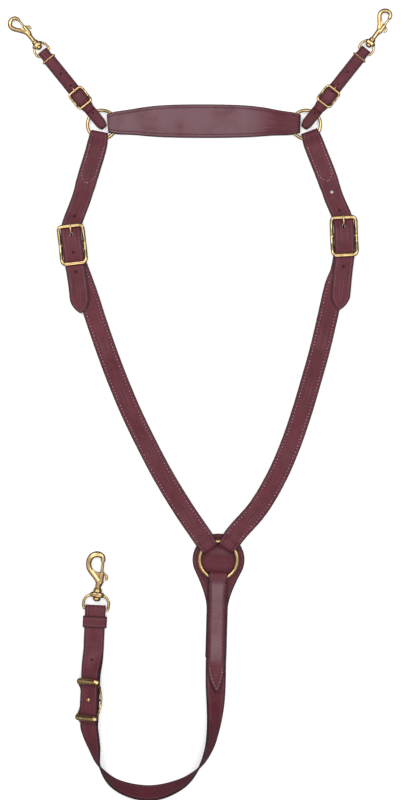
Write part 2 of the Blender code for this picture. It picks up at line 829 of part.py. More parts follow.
def build_chest_ring():
    """The larger ring at the centre of the chest."""
    data = ring_mesh(CHEST_RING_RADIUS, CHEST_RING_WIRE, 32, 8)
    at = Matrix.Translation(CHEST_RING + Vector((0, 0, CHEST_RING_Z)))
    add_object("chest_ring", data, brass("chest_ring"), at)


def buckle_axis(lean):
    """Direction of travel down a shoulder buckle."""
    return Vector((sin(lean), -cos(lean), 0))


def strap_tip(strap, end, width, point):
    """Narrow a strap's end to a rounded point."""
    strap.half += [
        (end - point, width / 2),
        (end - point * 0.45, width * 0.34),
        (end - point * 0.12, width * 0.16),
        (end, width * 0.07),
    ]


def build_billet(side, ring, bar, lean, upper, tail, holes):
    """The punched strap from a corner ring through the shoulder buckle to its loose tip."""
    axis = buckle_axis(lean)
    reach = BUCKLE_LENGTH / 2
    outward = Vector((BILLET_SHIFT if ring.x > 0 else -BILLET_SHIFT, 0, 0))
    points = [ring + outward, *[Vector((*p, 0)) * MM for p in upper]]
    points += [bar + axis * reach * share for share in (-1.1, -0.5, 0.0, 0.5, 1.1)]
    points += [Vector((*p, 0)) * MM for p in tail]
    route = Route(points)
    strap = Strap(route, 0.0, route.length)
    ring_size = (CORNER_RING_RADIUS, CORNER_RING_WIRE, BILLET_FOLD_WIDTH, FOLD_LEATHER, CORNER_RING_Z)
    tip = strap.ring_end(0.0, 1, *ring_size, shift=BILLET_SHIFT)
    full = CORNER_RING_RADIUS + CORNER_RING_WIRE / 2
    throat = CORNER_RING_RADIUS + CORNER_RING_WIRE + CLEARANCE + THROAT
    turn = throat + 42 * MM
    at_bar = route.nearest(bar)
    bed = LAMINATE - LEATHER
    under_end_bar = BUCKLE_END_Z - BUCKLE_WIRE - CLEARANCE - LEATHER
    strap.low = [
        (full, 0.0),
        (turn, 0.0),
        (turn + 0.6 * MM, bed),
        (turn + 17 * MM, bed),
        (turn + 30 * MM, 0.0),
        (at_bar - reach - 22 * MM, 0.0),
        (at_bar - reach - 2 * MM, under_end_bar - 0.8 * MM),
        (at_bar - 6 * MM, BILLET_OVER_BAR),
        (at_bar + 6 * MM, BILLET_OVER_BAR),
        (at_bar + reach - 2 * MM, TAIL_OVER_STRAP),
    ]
    strap.high = [(full, 2 * CORNER_RING_Z), (throat + SKIVE, LAMINATE), (turn, LAMINATE)]
    strap.high += [(s, low + LEATHER) for s, low in strap.low[2:]]
    strap.half = sized(
        [(tip + 3 * MM, BILLET_FOLD_WIDTH), (throat, BILLET_FOLD_WIDTH + 1 * MM)]
        + [(throat + FOLD_FLARE, STRAP_WIDTH)]
    )
    strap_tip(strap, route.length, STRAP_WIDTH, 18 * MM)
    name = "billet_" + side
    billet = add_object(name, strap.mesh(), leather(name))
    point = Strap(route, turn - 3 * MM, turn + 16 * MM)
    point.low = [(point.start, 0.0)]
    point.high = [(point.start, bed + 0.3 * MM)]
    point.half = sized([(turn, STRAP_WIDTH - 1.2 * MM), (turn + 15 * MM, 2.4 * MM)])
    tool = add_object(name + "_turned_end", point.mesh(), billet.data.materials[0])
    add_boolean(billet, tool, "UNION")
    marks = [(route.nearest(Vector((*p, 0)) * MM), 0.0) for p in holes]
    punch(billet, route, marks, HOLE_RADIUS, -1 * MM, 20 * MM)
    slot(billet, route, at_bar - TONGUE_HOLE, 5.6 * MM, 2 * TONGUE_WIRE + 4 * CLEARANCE, -1 * MM, 20 * MM)


def build_shoulder_strap(side, bar, lean, points):
    """The lined strap from the shoulder buckle down to the chest ring."""
    axis = buckle_axis(lean)
    straight = 14 * MM
    places = [bar, bar + axis * straight, *[Vector((*p, 0)) * MM for p in points], CHEST_RING]
    route = Route(places)
    length = route.length
    strap = Strap(route, 0.0, length)
    strap.bar_end(0.0, 1, BUCKLE_BAR, FOLD_LEATHER, BUCKLE_BAR_Z)
    ring = (CHEST_RING_RADIUS, CHEST_RING_WIRE, CHEST_FOLD_WIDTH, FOLD_LEATHER, CHEST_RING_Z)
    tip = strap.ring_end(length, -1, *ring)
    bar_throat = BUCKLE_BAR + CLEARANCE + THROAT
    ring_full = CHEST_RING_RADIUS + CHEST_RING_WIRE / 2
    ring_throat = CHEST_RING_RADIUS + CHEST_RING_WIRE + CLEARANCE + THROAT
    over_shield = max(ring_throat, SHIELD_RADIUS + 2 * MM)
    tops = (2 * BUCKLE_BAR_Z, 2 * CHEST_RING_Z - SHIELD_TOP)
    ends = doubled_heights(
        strap,
        BUCKLE_BAR / 2,
        bar_throat,
        length - over_shield,
        length - ring_full,
        tops,
        (0.0, SHIELD_TOP),
    )
    widths = [
        (bar_throat, STRAP_WIDTH),
        (length - ring_throat - FOLD_FLARE, STRAP_WIDTH),
        (length - ring_throat, CHEST_FOLD_WIDTH + 1 * MM),
        (length - tip - 3 * MM, CHEST_FOLD_WIDTH),
    ]
    strap.half = sized(widths)
    name = "shoulder_strap_" + side
    shoulder = add_object(name, strap.mesh(), leather(name))
    gap = 2 * TONGUE_WIRE + 2 * CLEARANCE
    slot_from = -BUCKLE_BAR_Z - 1 * MM
    slot_to = BUCKLE_BAR + BAR_PLAY + 2 * TONGUE_WIRE + CLEARANCE
    slot(shoulder, route, (slot_from + slot_to) / 2, slot_to - slot_from, gap, -1 * MM, 20 * MM)
    lining("shoulder_lining_" + side, route, ends[0], ends[1], widths)


def rounded_rectangle(length, width, corner, arc_steps):
    """Points of a rounded rectangle round the origin, length along X."""
    points = []
    for quarter in range(4):
        angle = quarter * pi / 2
        sx = 1 if quarter in (0, 3) else -1
        sy = 1 if quarter in (0, 1) else -1
        centre = Vector((sx * (length / 2 - corner), sy * (width / 2 - corner), 0))
        for step in range(arc_steps + 1):
            turn = angle + step / arc_steps * pi / 2
            points.append(centre + heading(turn) * corner)
    return points


def bowed_frame(name, length, width, corner, wire, drop, bar_radius, at, end_wire=None, steps=4, bow=2):
    """A rectangular frame whose rails bow down to a bar across the middle; bow 1 is a plain arc."""
    end_wire = end_wire or wire
    outline = rounded_rectangle(length, width, corner, 4)
    rail = length / 2 - corner
    points = []
    for i, point in enumerate(outline):
        points.append(point)
        after = outline[(i + 1) % len(outline)]
        if abs(after.x - point.x) > rail:
            points += [point.lerp(after, step / steps) for step in range(1, steps)]
    radii = []
    for point in points:
        share = min(abs(point.x) / (length / 2), 1.0)
        point.z = -drop * (1 - share * share) ** bow
        radii.append(blend(wire, end_wire, (abs(point.x) - rail) / corner))
    frame = add_object(name, tube(points, radii, 8, closed=True), brass(name), at)
    half = width / 2
    ends = [Vector((0, -half, -drop)), Vector((0, half, -drop))]
    bar = add_object(name + "_bar", tube(ends, bar_radius, 8), frame.data.materials[0], at)
    add_boolean(frame, bar, "UNION")
    return frame


def tongue_mesh(bar_radius, wire, points):
    """A wire tongue: an eye round the bar and a blade through the given (x, z) points."""
    eye_radius = bar_radius + BAR_PLAY + wire
    route = [Vector((x, 0, z)) for x, z in points]
    smooth = [p.to_3d() for p in spline([Vector((*p, 0)) for p in route], 2)]
    start = atan2(smooth[0].z, smooth[0].x)
    turn = []
    steps = 9
    for step in range(steps):
        angle = start - radians(300) * (1 - step / steps)
        turn.append(Vector((cos(angle), 0, sin(angle))) * eye_radius)
    path = turn + smooth
    radii = [wire] * (len(path) - 1) + [wire * 0.7]
    return tube(path, radii, 8)


def build_shoulder_buckle(side, bar, lean):
    """Frame and tongue of a shoulder buckle."""
    axis = buckle_axis(lean)
    angle = atan2(axis.y, axis.x)
    inner = STRAP_WIDTH + 2 * SIDE_PLAY
    drop = BUCKLE_END_Z - BUCKLE_BAR_Z
    at = placement(bar + Vector((0, 0, BUCKLE_END_Z)), angle)
    width = inner + 2 * BUCKLE_WIRE
    name = "shoulder_buckle_" + side
    bowed_frame(name, BUCKLE_LENGTH, width, BUCKLE_CORNER, BUCKLE_WIRE, drop, BUCKLE_BAR, at)
    over = drop + BUCKLE_WIRE + BAR_PLAY + TONGUE_WIRE
    eye = BUCKLE_BAR + BAR_PLAY + TONGUE_WIRE
    reach = BUCKLE_LENGTH / 2
    blade = [
        (-eye, 0.0),
        (-TONGUE_HOLE + 3.2 * MM, -0.2 * MM),
        (-TONGUE_HOLE + 0.3 * MM, 2.0 * MM),
        (-TONGUE_HOLE - 0.1 * MM, over - 3.4 * MM),
        (-TONGUE_HOLE - 2.2 * MM, over - 0.6 * MM),
        (-reach, over),
        (-reach - TONGUE_OVERHANG, over - 0.5 * MM),
    ]
    name = "shoulder_tongue_" + side
    tongue_at = placement(bar + Vector((0, 0, BUCKLE_BAR_Z)), angle)
    add_object(name, tongue_mesh(BUCKLE_BAR, TONGUE_WIRE, blade), brass(name), tongue_at)


def build_tug(side, ring, snap, snap_heading, holes):
    """The short double strap from a corner ring to a snap, with its buckle and keeper."""
    line = (ring - snap).normalized()
    route = Route([snap, (snap + ring) / 2, ring, ring + line * 3 * TUG_LOOP_REACH])
    length = (ring - snap).length
    angle = atan2(line.y, line.x)
    bar_z = SNAP_SMALL_EYE_WIRE + 2 * CLEARANCE + TUG_LEATHER
    slack = TUG_FOLD_WIDTH / 2 * abs(tan(snap_heading - angle - pi))
    strap = Strap(route, 0.0, length)
    outer = strap.bar_end(0.0, 1, SNAP_SMALL_EYE_WIRE, TUG_LEATHER, bar_z, slack)
    ring_args = (CORNER_RING_RADIUS, CORNER_RING_WIRE, TUG_FOLD_WIDTH, TUG_LEATHER, CORNER_RING_Z)
    strap.ring_end(length, -1, *ring_args, reach=-TUG_LOOP_REACH)
    at_bar = TUG_BUCKLE_FROM_SNAP
    reach = TUG_BUCKLE_LENGTH / 2
    keeper_end = TUG_KEEPER_FROM_SNAP + TUG_KEEPER_TRAVEL + 3 * MM
    throat = SNAP_SMALL_EYE_WIRE + CLEARANCE + slack + THROAT
    ring_full = length - CORNER_RING_RADIUS - CORNER_RING_WIRE / 2
    ring_outer = CORNER_RING_WIRE + CLEARANCE + TUG_LEATHER
    ring_low = CORNER_RING_Z - ring_outer
    ring_throat = length - CORNER_RING_RADIUS - CORNER_RING_WIRE - CLEARANCE - THROAT
    end_z = TUG_FRONT_OVER_BAR
    lift = TUG_KEEPER_LIFT
    strap.low = [
        (SNAP_SMALL_EYE_WIRE / 2, bar_z - outer),
        (throat, lift),
        (keeper_end, lift),
        (at_bar - reach - 6 * MM, 0.0),
        (ring_throat, 0.0),
        (ring_full, ring_low),
    ]
    under_bar = end_z - TUG_BUCKLE_WIRE - CLEARANCE
    hump = TUG_FRONT_OVER_BAR + TUG_LEATHER
    strap.high = [
        (SNAP_SMALL_EYE_WIRE / 2, bar_z + outer),
        (throat, lift + TUG_LAMINATE),
        (keeper_end, lift + TUG_LAMINATE),
        (at_bar - reach - 6 * MM, TUG_LAMINATE),
        (at_bar - reach, under_bar),
        (at_bar - reach + 5.5 * MM, hump),
        (at_bar + 3.0 * MM, hump),
        (at_bar + reach - 0.5 * MM, under_bar),
        (ring_throat, TUG_LAMINATE),
        (ring_full, CORNER_RING_Z + ring_outer),
    ]
    eye_half = (TUG_FRONT_OVER_BAR - TUG_LEATHER) / 2
    eye_mid = (TUG_FRONT_OVER_BAR + TUG_LEATHER) / 2
    marks = (at_bar - reach + 0.6 * MM, at_bar - reach + 5.0 * MM, at_bar + 3 * MM, at_bar + 7.5 * MM)
    strap.eyes.append(Eye(*marks, eye_mid, eye_half, False, False, 0.25))
    strap.half = sized(
        [(throat, TUG_FOLD_WIDTH), (throat + 3 * MM, TUG_WIDTH)]
        + [(ring_throat - 8 * MM, TUG_WIDTH), (ring_throat, TUG_FOLD_WIDTH)]
        + [(length + beyond, 2 * half) for beyond, half in TUG_LOOP_SHAPE]
    )
    name = "tug_strap_" + side
    tug = add_object(name, strap.mesh(), leather(name))
    marks = [((Vector((*p, 0)) * MM - snap).dot(line), 0.0) for p in holes]
    punch(tug, route, marks, TUG_HOLE_RADIUS, -1 * MM, 20 * MM)
    gap = 2 * TUG_TONGUE_WIRE + 3 * CLEARANCE
    slot(tug, route, at_bar - TUG_TONGUE_HOLE, 3.6 * MM, gap, eye_mid, 20 * MM)
    move_origin(tug, ring + Vector((0, 0, CORNER_RING_Z)))
    build_tug_buckle(side, snap, line, angle, at_bar, end_z)
    build_tug_keeper(side, snap + line * TUG_KEEPER_FROM_SNAP, angle)


def build_tug_buckle(side, snap, line, angle, at_bar, end_z):
    """Frame and tongue of a tug buckle."""
    centre = snap + line * at_bar
    width = TUG_WIDTH + SIDE_PLAY + 2 * TUG_BUCKLE_WIRE
    drop = end_z - TUG_BAR_Z
    at = placement(centre + Vector((0, 0, end_z)), angle)
    name = "tug_buckle_" + side
    bowed_frame(
        name, TUG_BUCKLE_LENGTH, width, TUG_BUCKLE_CORNER, TUG_BUCKLE_WIRE, drop, TUG_BUCKLE_BAR, at
    )
    over = drop + TUG_BUCKLE_WIRE + BAR_PLAY + TUG_TONGUE_WIRE
    reach = TUG_BUCKLE_LENGTH / 2
    eye = TUG_BUCKLE_BAR + BAR_PLAY + TUG_TONGUE_WIRE
    blade = [
        (-eye, 0.0),
        (-TUG_TONGUE_HOLE + 2.0 * MM, 0.0),
        (-TUG_TONGUE_HOLE, 1.6 * MM),
        (-TUG_TONGUE_HOLE, over - 1.6 * MM),
        (-reach + 1.0 * MM, over),
        (-reach - TUG_TONGUE_OVERHANG, over),
    ]
    name = "tug_tongue_" + side
    tongue_at = placement(centre + Vector((0, 0, TUG_BAR_Z)), angle)
    add_object(name, tongue_mesh(TUG_BUCKLE_BAR, TUG_TONGUE_WIRE, blade), brass(name), tongue_at)


def build_tug_keeper(side, centre, angle):
    """A bent wire keeper round both layers of a tug."""
    wire = TUG_KEEPER_WIRE
    width = TUG_WIDTH + 2 * CLEARANCE + 2 * wire
    height = TUG_LAMINATE + 2 * CLEARANCE + 2 * wire
    outline = rounded_rectangle(width, height, 1.2 * MM, 2)
    points = [Vector((0, p.x, p.y + wire + height / 2)) for p in outline]
    name = "tug_keeper_" + side
    add_object(name, tube(points, wire, 6, closed=True), brass(name), placement(centre, angle))


def tie_line():
    """Straight run of the tie strap from its snap down to its buckle."""
    return heading(TIE_LINE_HEADING)


def tie_route():
    """Centre line of the tie strap's underside, with the tilt of its width."""
    loop = [
        # x and y in millimetres, tilt in degrees: the inner edge rises with the tilt
        (17.0, -250.0, 0),
        (15.9, -312.0, 0),
        (15.4, -330.0, 0),
        (14.9, -348.0, 12),
        (13.9, -380.0, 36),
        (10.8, -408.0, 55),
        (5.5, -431.0, 68),
        (-6.0, -453.5, 84),
        (-27.0, -473.0, 108),
        (-66.9, -485.6, 127),
        (-108.5, -474.5, 110),
        (-128.0, -453.0, 84),
        (-134.5, -431.0, 56),
    ]
    places = [(CHEST_RING.copy(), 0, 0.0)]
    places += [(Vector((x, y, 0)) * MM, tilt, 0.0) for x, y, tilt in loop]
    buckle = TIE_SNAP + tie_line() * TIE_BUCKLE_FROM_SNAP
    half = TIE_BUCKLE_LENGTH / 2
    rail = (STRAP_WIDTH / 2 + TIE_SIDE_PLAY + TIE_BUCKLE_WIRE) * sin(radians(TIE_BUCKLE_TILT))
    bar_z = rail + TIE_BUCKLE_WIRE
    under = bar_z + (TIE_BUCKLE_WIRE + CLEARANCE) * cos(radians(TIE_BUCKLE_TILT))
    lift = under - STRAP_WIDTH / 2 * sin(radians(TIE_BUCKLE_TILT))
    for share in (1.4, 1.18, 0.5, 0.0, -0.5, -1.18, -1.4):
        places.append((buckle + tie_line() * half * share, TIE_BUCKLE_TILT, lift))
    for share in (1.0, 0.75, 0.4, 0.0):
        places.append((TIE_SNAP + tie_line() * TIE_LEVEL_FROM_SNAP * share, 0, 0.0))
    points = []
    for place, tilt, lift in places:
        angle = radians(tilt)
        rise = STRAP_WIDTH / 2 * sin(angle) + LEATHER * max(0.0, -cos(angle)) + lift
        points.append(place + Vector((0, 0, rise)))
    return Route(points, [-tilt for _, tilt, _ in places])


def route_placement(route, s, height):
    """Local X along a route, Y to the left of travel, Z along the strap's normal."""
    place, width, normal, tangent = route.frame(s)
    turn = Matrix((tangent, width, normal)).transposed().to_4x4()
    return Matrix.Translation(place + normal * height) @ turn


def build_tie_strap():
    """The long strap from the chest ring through its buckle to the girth snap."""
    route = tie_route()
    length = route.length
    strap = Strap(route, 0.0, length)
    strap.spacing = TIE_STEP
    ring = (CHEST_RING_RADIUS, CHEST_RING_WIRE, TIE_FOLD_WIDTH, FOLD_LEATHER, CHEST_RING_Z)
    tip = strap.ring_end(0.0, 1, *ring)
    outer = strap.bar_end(length, -1, SNAP_EYE_WIRE, FOLD_LEATHER, SNAP_Z, TIE_LOOP_SLACK)
    full = CHEST_RING_RADIUS + CHEST_RING_WIRE / 2
    throat = CHEST_RING_RADIUS + CHEST_RING_WIRE + CLEARANCE + THROAT
    double = 2 * LEATHER
    level = SHIELD_TAIL_END + 20 * MM
    point = TIE_FRONT_LENGTH - TIE_FRONT_POINT
    snap_throat = length - (SNAP_EYE_WIRE + CLEARANCE + TIE_LOOP_SLACK + THROAT)
    keeper_end = length - (TIE_KEEPER_FROM_SNAP + TIE_KEEPER_LENGTH / 2 + TIE_KEEPER_TRAVEL + 2 * MM)
    turned_end = length - (TIE_BUCKLE_FROM_SNAP + TIE_BUCKLE_LENGTH / 2 + 7 * MM)
    strap.low = [
        (full, SHIELD_TOP),
        (SHIELD_TAIL_END + 2 * MM, SHIELD_TOP),
        (level, 0.0),
        (keeper_end - 12 * MM, 0.0),
        (keeper_end, TIE_KEEPER_LIFT),
        (snap_throat, TIE_KEEPER_LIFT),
        (length - SNAP_EYE_WIRE / 2, SNAP_Z - outer),
    ]
    strap.high = [
        (full, 2 * CHEST_RING_Z - SHIELD_TOP),
        (throat + SKIVE, SHIELD_TOP + double),
        (SHIELD_TAIL_END + 2 * MM, SHIELD_TOP + double),
        (level, double),
        (point, double),
        (point + 0.6 * MM, LEATHER),
        (turned_end, LEATHER),
        (turned_end + 3 * MM, double),
        (keeper_end - 12 * MM, double),
        (keeper_end, TIE_KEEPER_LIFT + double),
        (snap_throat, TIE_KEEPER_LIFT + double),
        (length - SNAP_EYE_WIRE / 2, SNAP_Z + outer),
    ]
    strap.half = sized(
        [(tip + 3 * MM, TIE_FOLD_WIDTH), (throat, TIE_FOLD_WIDTH + 1 * MM)]
        + [(throat + FOLD_FLARE, STRAP_WIDTH)]
    )
    tie = add_object("tie_strap", strap.mesh(), leather("tie_strap"))
    front = Strap(route, point - 2 * MM, TIE_FRONT_LENGTH)
    front.low = [(front.start, LEATHER / 2)]
    front.high = [(front.start, double - TIE_POINT_DROP)]
    wide = STRAP_WIDTH - 1.2 * MM
    front.half = sized([(point, wide), (point + 9 * MM, wide * 0.66), (TIE_FRONT_LENGTH, 3 * MM)])
    front.spacing = 6 * MM
    tool = add_object("tie_front_point", front.mesh(), tie.data.materials[0])
    add_boolean(tie, tool, "UNION")
    at_stud = length - TIE_BUCKLE_FROM_SNAP
    punch(tie, route, [(at_stud, 0.0)], TIE_STUD_RADIUS + CLEARANCE, -2 * MM, 9 * MM)
    at_hole = route.nearest(TIE_HOLE, length / 2)
    punch(tie, route, [(at_hole, 0.0)], HOLE_RADIUS, -2 * MM, 12 * MM, "_hole")
    move_origin(tie, CHEST_RING + Vector((0, 0, CHEST_RING_Z)))
    build_tie_buckle(route, at_stud)
    build_tie_keeper(route, length - TIE_KEEPER_FROM_SNAP)


def build_tie_buckle(route, at_stud):
    """A bowed buckle whose centre bar carries a fixed stud."""
    width = STRAP_WIDTH + 2 * TIE_SIDE_PLAY + 2 * TIE_BUCKLE_WIRE
    end_z = 2 * LEATHER + CLEARANCE + TIE_BUCKLE_END
    bar_z = -CLEARANCE - TIE_BUCKLE_WIRE
    at = route_placement(route, at_stud, end_z)
    frame = bowed_frame(
        "tie_buckle",
        TIE_BUCKLE_LENGTH,
        width,
        TIE_BUCKLE_CORNER,
        TIE_BUCKLE_WIRE,
        end_z - bar_z,
        TIE_BUCKLE_WIRE,
        at,
        TIE_BUCKLE_END,
        steps=8,
        bow=1,
    )
    head = 2 * LEATHER + CLEARANCE
    stud = lathe(
        [
            (bar_z, TIE_STUD_RADIUS),
            (head, TIE_STUD_RADIUS),
            (head + 0.4 * MM, TIE_STUD_HEAD),
            (head + 1.6 * MM, TIE_STUD_HEAD),
            (head + 2.3 * MM, 0.5 * TIE_STUD_HEAD),
        ],
        16,
    )
    stand = route_placement(route, at_stud, 0.0) @ Matrix.Rotation(-pi / 2, 4, "Y")
    tool = add_object("tie_buckle_stud", stud, frame.data.materials[0], stand)
    add_boolean(frame, tool, "UNION")


def build_tie_keeper(route, s):
    """A flat leather band round both layers of the tie strap."""
    wall = TIE_KEEPER_LEATHER
    inner = (STRAP_WIDTH + 2 * CLEARANCE, 2 * LEATHER + 2 * CLEARANCE)
    data = bmesh.new()
    loops = []
    for size, corner in ((inner, 0.8 * MM), ((inner[0] + 2 * wall, inner[1] + 2 * wall), 2.6 * MM)):
        outline = rounded_rectangle(size[0], size[1], corner, 3)
        for x in (-TIE_KEEPER_LENGTH / 2, TIE_KEEPER_LENGTH / 2):
            loops.append([data.verts.new((x, p.x, p.y + inner[1] / 2 + wall)) for p in outline])
    for a, b in ((0, 1), (1, 3), (3, 2), (2, 0)):
        for k in range(len(loops[0])):
            n = (k + 1) % len(loops[0])
            data.faces.new([loops[a][k], loops[a][n], loops[b][n], loops[b][k]])
    at = route_placement(route, s, 0.0)
    add_object("tie_keeper", data, leather("tie_keeper"), at)


def build_shield():
    """The round shield behind the chest ring, with its tail behind the tie strap."""
    half = SHIELD_TAIL_WIDTH / 2
    sweep = pi + 2 * SHIELD_SHOULDER
    steps = 28
    outline = []
    for i in range(steps + 1):
        outline.append(heading(sweep * i / steps - SHIELD_SHOULDER) * SHIELD_RADIUS)
    corner = 3 * MM
    for side in (-1, 1):
        leave = heading(-SHIELD_SHOULDER) * SHIELD_RADIUS
        turn = Vector((half, leave.y - (leave.x - half) / tan(SHIELD_SHOULDER), 0))
        join = Vector((half, -SHIELD_FLOW_END, 0))
        flank = []
        for share in (0.2, 0.4, 0.6, 0.8, 1.0):
            flank.append(leave.lerp(turn, share).lerp(turn.lerp(join, share), share))
        flank.append(Vector((half, -SHIELD_TAIL_END + corner, 0)))
        flank.append(Vector((half - corner, -SHIELD_TAIL_END, 0)))
        flank = [Vector((side * p.x, p.y, 0)) for p in flank]
        outline += flank if side < 0 else reversed(flank)
    data = bmesh.new()
    edge = EDGE_ROUND
    levels = ((0.0, 1), (edge, 0), (SHIELD_LEATHER - edge, 0), (SHIELD_LEATHER, 1))
    rings = []
    for z, inset in levels:
        ring = []
        for i, point in enumerate(outline):
            run = outline[(i + 1) % len(outline)] - outline[i - 1]
            inward = Vector((-run.y, run.x, 0)).normalized()
            ring.append(data.verts.new(point + inward * edge * inset + Vector((0, 0, z))))
        rings.append(ring)
    for a, b in zip(rings, rings[1:]):
        for k in range(len(outline)):
            n = (k + 1) % len(outline)
            data.faces.new([a[k], a[n], b[n], b[k]])
    data.faces.new(rings[0])
    data.faces.new(rings[-1])
    at = placement(CHEST_RING, SHIELD_LEAN)
    add_object("chest_shield", data, leather("chest_shield"), at)


class SnapSize:
    """One size of bolt snap: scales the large one and can lengthen its neck."""

    def __init__(self, scale, extra, eye_wire, eye_length, eye_play, strap_width, hook, web):
        self.scale = scale
        self.hook = hook
        self.web = web
        self.extra = extra
        self.eye_wire = eye_wire
        self.eye_length = eye_length
        self.eye_play = eye_play
        self.strap_width = strap_width

    def x(self, value):
        return value * self.scale + (self.extra if value > NECK_FROM else 0.0)

    def profile(self, points):
        return [(self.x(x), r * self.scale) for x, r in points]

    def path(self, points):
        return [Vector((self.x(x), y * self.scale, 0)) for x, y in points]


def build_snap(name, size, bar, angle):
    """A swivel bolt snap whose eye takes a strap: eye, body, bolt and spring."""
    origin = Matrix.Translation(bar) @ Matrix.Rotation(angle, 4, "Z")
    swivel = origin @ Matrix.Translation((size.eye_length, 0, 0))
    build_snap_eye(name + "_eye", size, origin)
    build_snap_body(name + "_body", size, swivel)
    build_snap_bolt(name + "_bolt", size, swivel)
    build_snap_spring(name + "_spring", size, swivel)


def build_snap_eye(name, size, at):
    """A horseshoe eye for the strap, with a bored boss for the swivel stem."""
    wire = size.eye_wire
    half = size.strap_width / 2 + size.eye_play + wire
    length = size.eye_length
    corner = 1.6 * wire
    boss_y = BOSS_HALF_WIDTH * size.scale - wire
    points = [(length, boss_y), (length * 0.84, half * 0.78), (length * 0.58, half * 0.99)]
    points += [(length * 0.34, half), (corner, half), (corner * 0.3, half - corner * 0.3), (0, half - corner)]
    path = [Vector((x, y, 0)) for x, y in points]
    path += [Vector((x, -y, 0)) for x, y in reversed(points)]
    eye = add_object(name, tube(path, wire, 8), brass(name), at)
    x = BOSS_HALF_LENGTH * size.scale
    r = BOSS_HALF_WIDTH * size.scale
    boss = lathe([(-x, r * 0.84), (-x * 0.5, r), (x * 0.5, r), (x, r * 0.84)], 16, BOSS_FLATNESS)
    swivel = at @ Matrix.Translation((length, 0, 0))
    tool = add_object(name + "_boss", boss, eye.data.materials[0], swivel)
    add_boolean(eye, tool, "UNION")
    bore_r = STEM_RADIUS * size.scale + CLEARANCE
    bore = lathe([(-3 * x, bore_r), (3 * x, bore_r)], 16)
    tool = add_object(name + "_bore", bore, eye.data.materials[0], swivel)
    add_boolean(eye, tool, "DIFFERENCE")


def build_snap_body(name, size, at):
    """Ball, stem, collar, neck, barrel and hook, with the bolt's bore and slot."""
    face = BOSS_HALF_LENGTH * size.scale + CLEARANCE
    turned = size.profile(SWIVEL_PROFILE)
    stem = STEM_RADIUS * size.scale
    ball = [(x, r) for x, r in turned if x < 0]
    neck = [(x, r) for x, r in turned if x > 0]
    profile = [*ball, (-face, ball[-1][1]), (-face, stem), (face, stem), (face, neck[0][1]), *neck]
    body = add_object(name, lathe(profile, 16), brass(name), at)
    mat = body.data.materials[0]
    axis = at @ Matrix.Translation((0, -BOLT_OFFSET * size.scale, 0))
    barrel = lathe(size.profile(BARREL_PROFILE), 16)
    add_boolean(body, add_object(name + "_barrel", barrel, mat, axis), "UNION")
    places = spline(size.path([(x, y) for x, y, _ in size.hook]), 2)
    radii = [r for _, _, r in size.hook]
    dense = []
    for a, b in zip(radii, radii[1:]):
        dense += [a * size.scale, (a + b) / 2 * size.scale]
    dense.append(radii[-1] * size.scale)
    add_boolean(body, add_object(name + "_hook", tube(places, dense, 10), mat, at), "UNION")
    web = bmesh.new()
    thick = WEB_THICKNESS * size.scale / 2
    layers = []
    for z in (-thick, thick):
        layers.append([web.verts.new(p + Vector((0, 0, z))) for p in size.path(size.web)])
        web.faces.new(layers[-1])
    for k in range(len(size.web)):
        n = (k + 1) % len(size.web)
        web.faces.new([layers[0][k], layers[0][n], layers[1][n], layers[1][k]])
    add_boolean(body, add_object(name + "_web", web, mat, at), "UNION")
    bore_r = BOLT_RADIUS * size.scale + CLEARANCE
    bore = lathe([(size.x(BORE_FLOOR), bore_r), (size.x(BARREL_MOUTH + 3 * MM), bore_r)], 16)
    add_boolean(body, add_object(name + "_bore", bore, mat, axis), "DIFFERENCE")
    half = KNOB_STEM * size.scale + CLEARANCE
    travel = BOLT_TRAVEL * size.scale
    low = (size.x(KNOB_AT) - travel - half, -8 * MM, -half)
    cut = block(low, (size.x(KNOB_AT) + half, 0.0, half))
    add_boolean(body, add_object(name + "_slot", cut, mat, axis), "DIFFERENCE")


def build_snap_bolt(name, size, at):
    """The sliding bolt with its curled thumb piece."""
    origin = at @ Matrix.Translation((0, -BOLT_OFFSET * size.scale, 0))
    nose = size.x(HOOK_TIP) - CLEARANCE
    r = BOLT_RADIUS * size.scale
    rod = lathe([(size.x(BOLT_TAIL), r), (nose - 0.8 * MM, r), (nose, 0.7 * r)], 16)
    bolt = add_object(name, rod, brass(name), origin)
    places = spline(size.path([(x, y) for x, y, _ in THUMB_PATH]), 2)
    radii = [value for _, _, value in THUMB_PATH]
    dense = []
    for a, b in zip(radii, radii[1:]):
        dense += [a * size.scale, (a + b) / 2 * size.scale]
    dense.append(radii[-1] * size.scale)
    tool = add_object(name + "_thumb_piece", tube(places, dense, 10), bolt.data.materials[0], origin)
    add_boolean(bolt, tool, "UNION")


def build_snap_spring(name, size, at):
    """The coil spring behind the bolt."""
    origin = at @ Matrix.Translation((0, -BOLT_OFFSET * size.scale, 0))
    wire = SPRING_WIRE * size.scale
    start = size.x(BORE_FLOOR) + wire + BAR_PLAY / 2
    end = size.x(BOLT_TAIL) - wire - BAR_PLAY / 2
    steps = SPRING_TURNS * SPRING_STEPS
    points = []
    for i in range(steps + 1):
        angle = 2 * pi * i / SPRING_STEPS
        radius = SPRING_RADIUS * size.scale
        x = start + (end - start) * i / steps
        points.append(Vector((x, radius * cos(angle), radius * sin(angle))))
    data = tube(points, wire, 5)
    mat = material(name, STEEL_COLOUR, 0.3, 1.0)
    add_object(name, data, mat, origin)


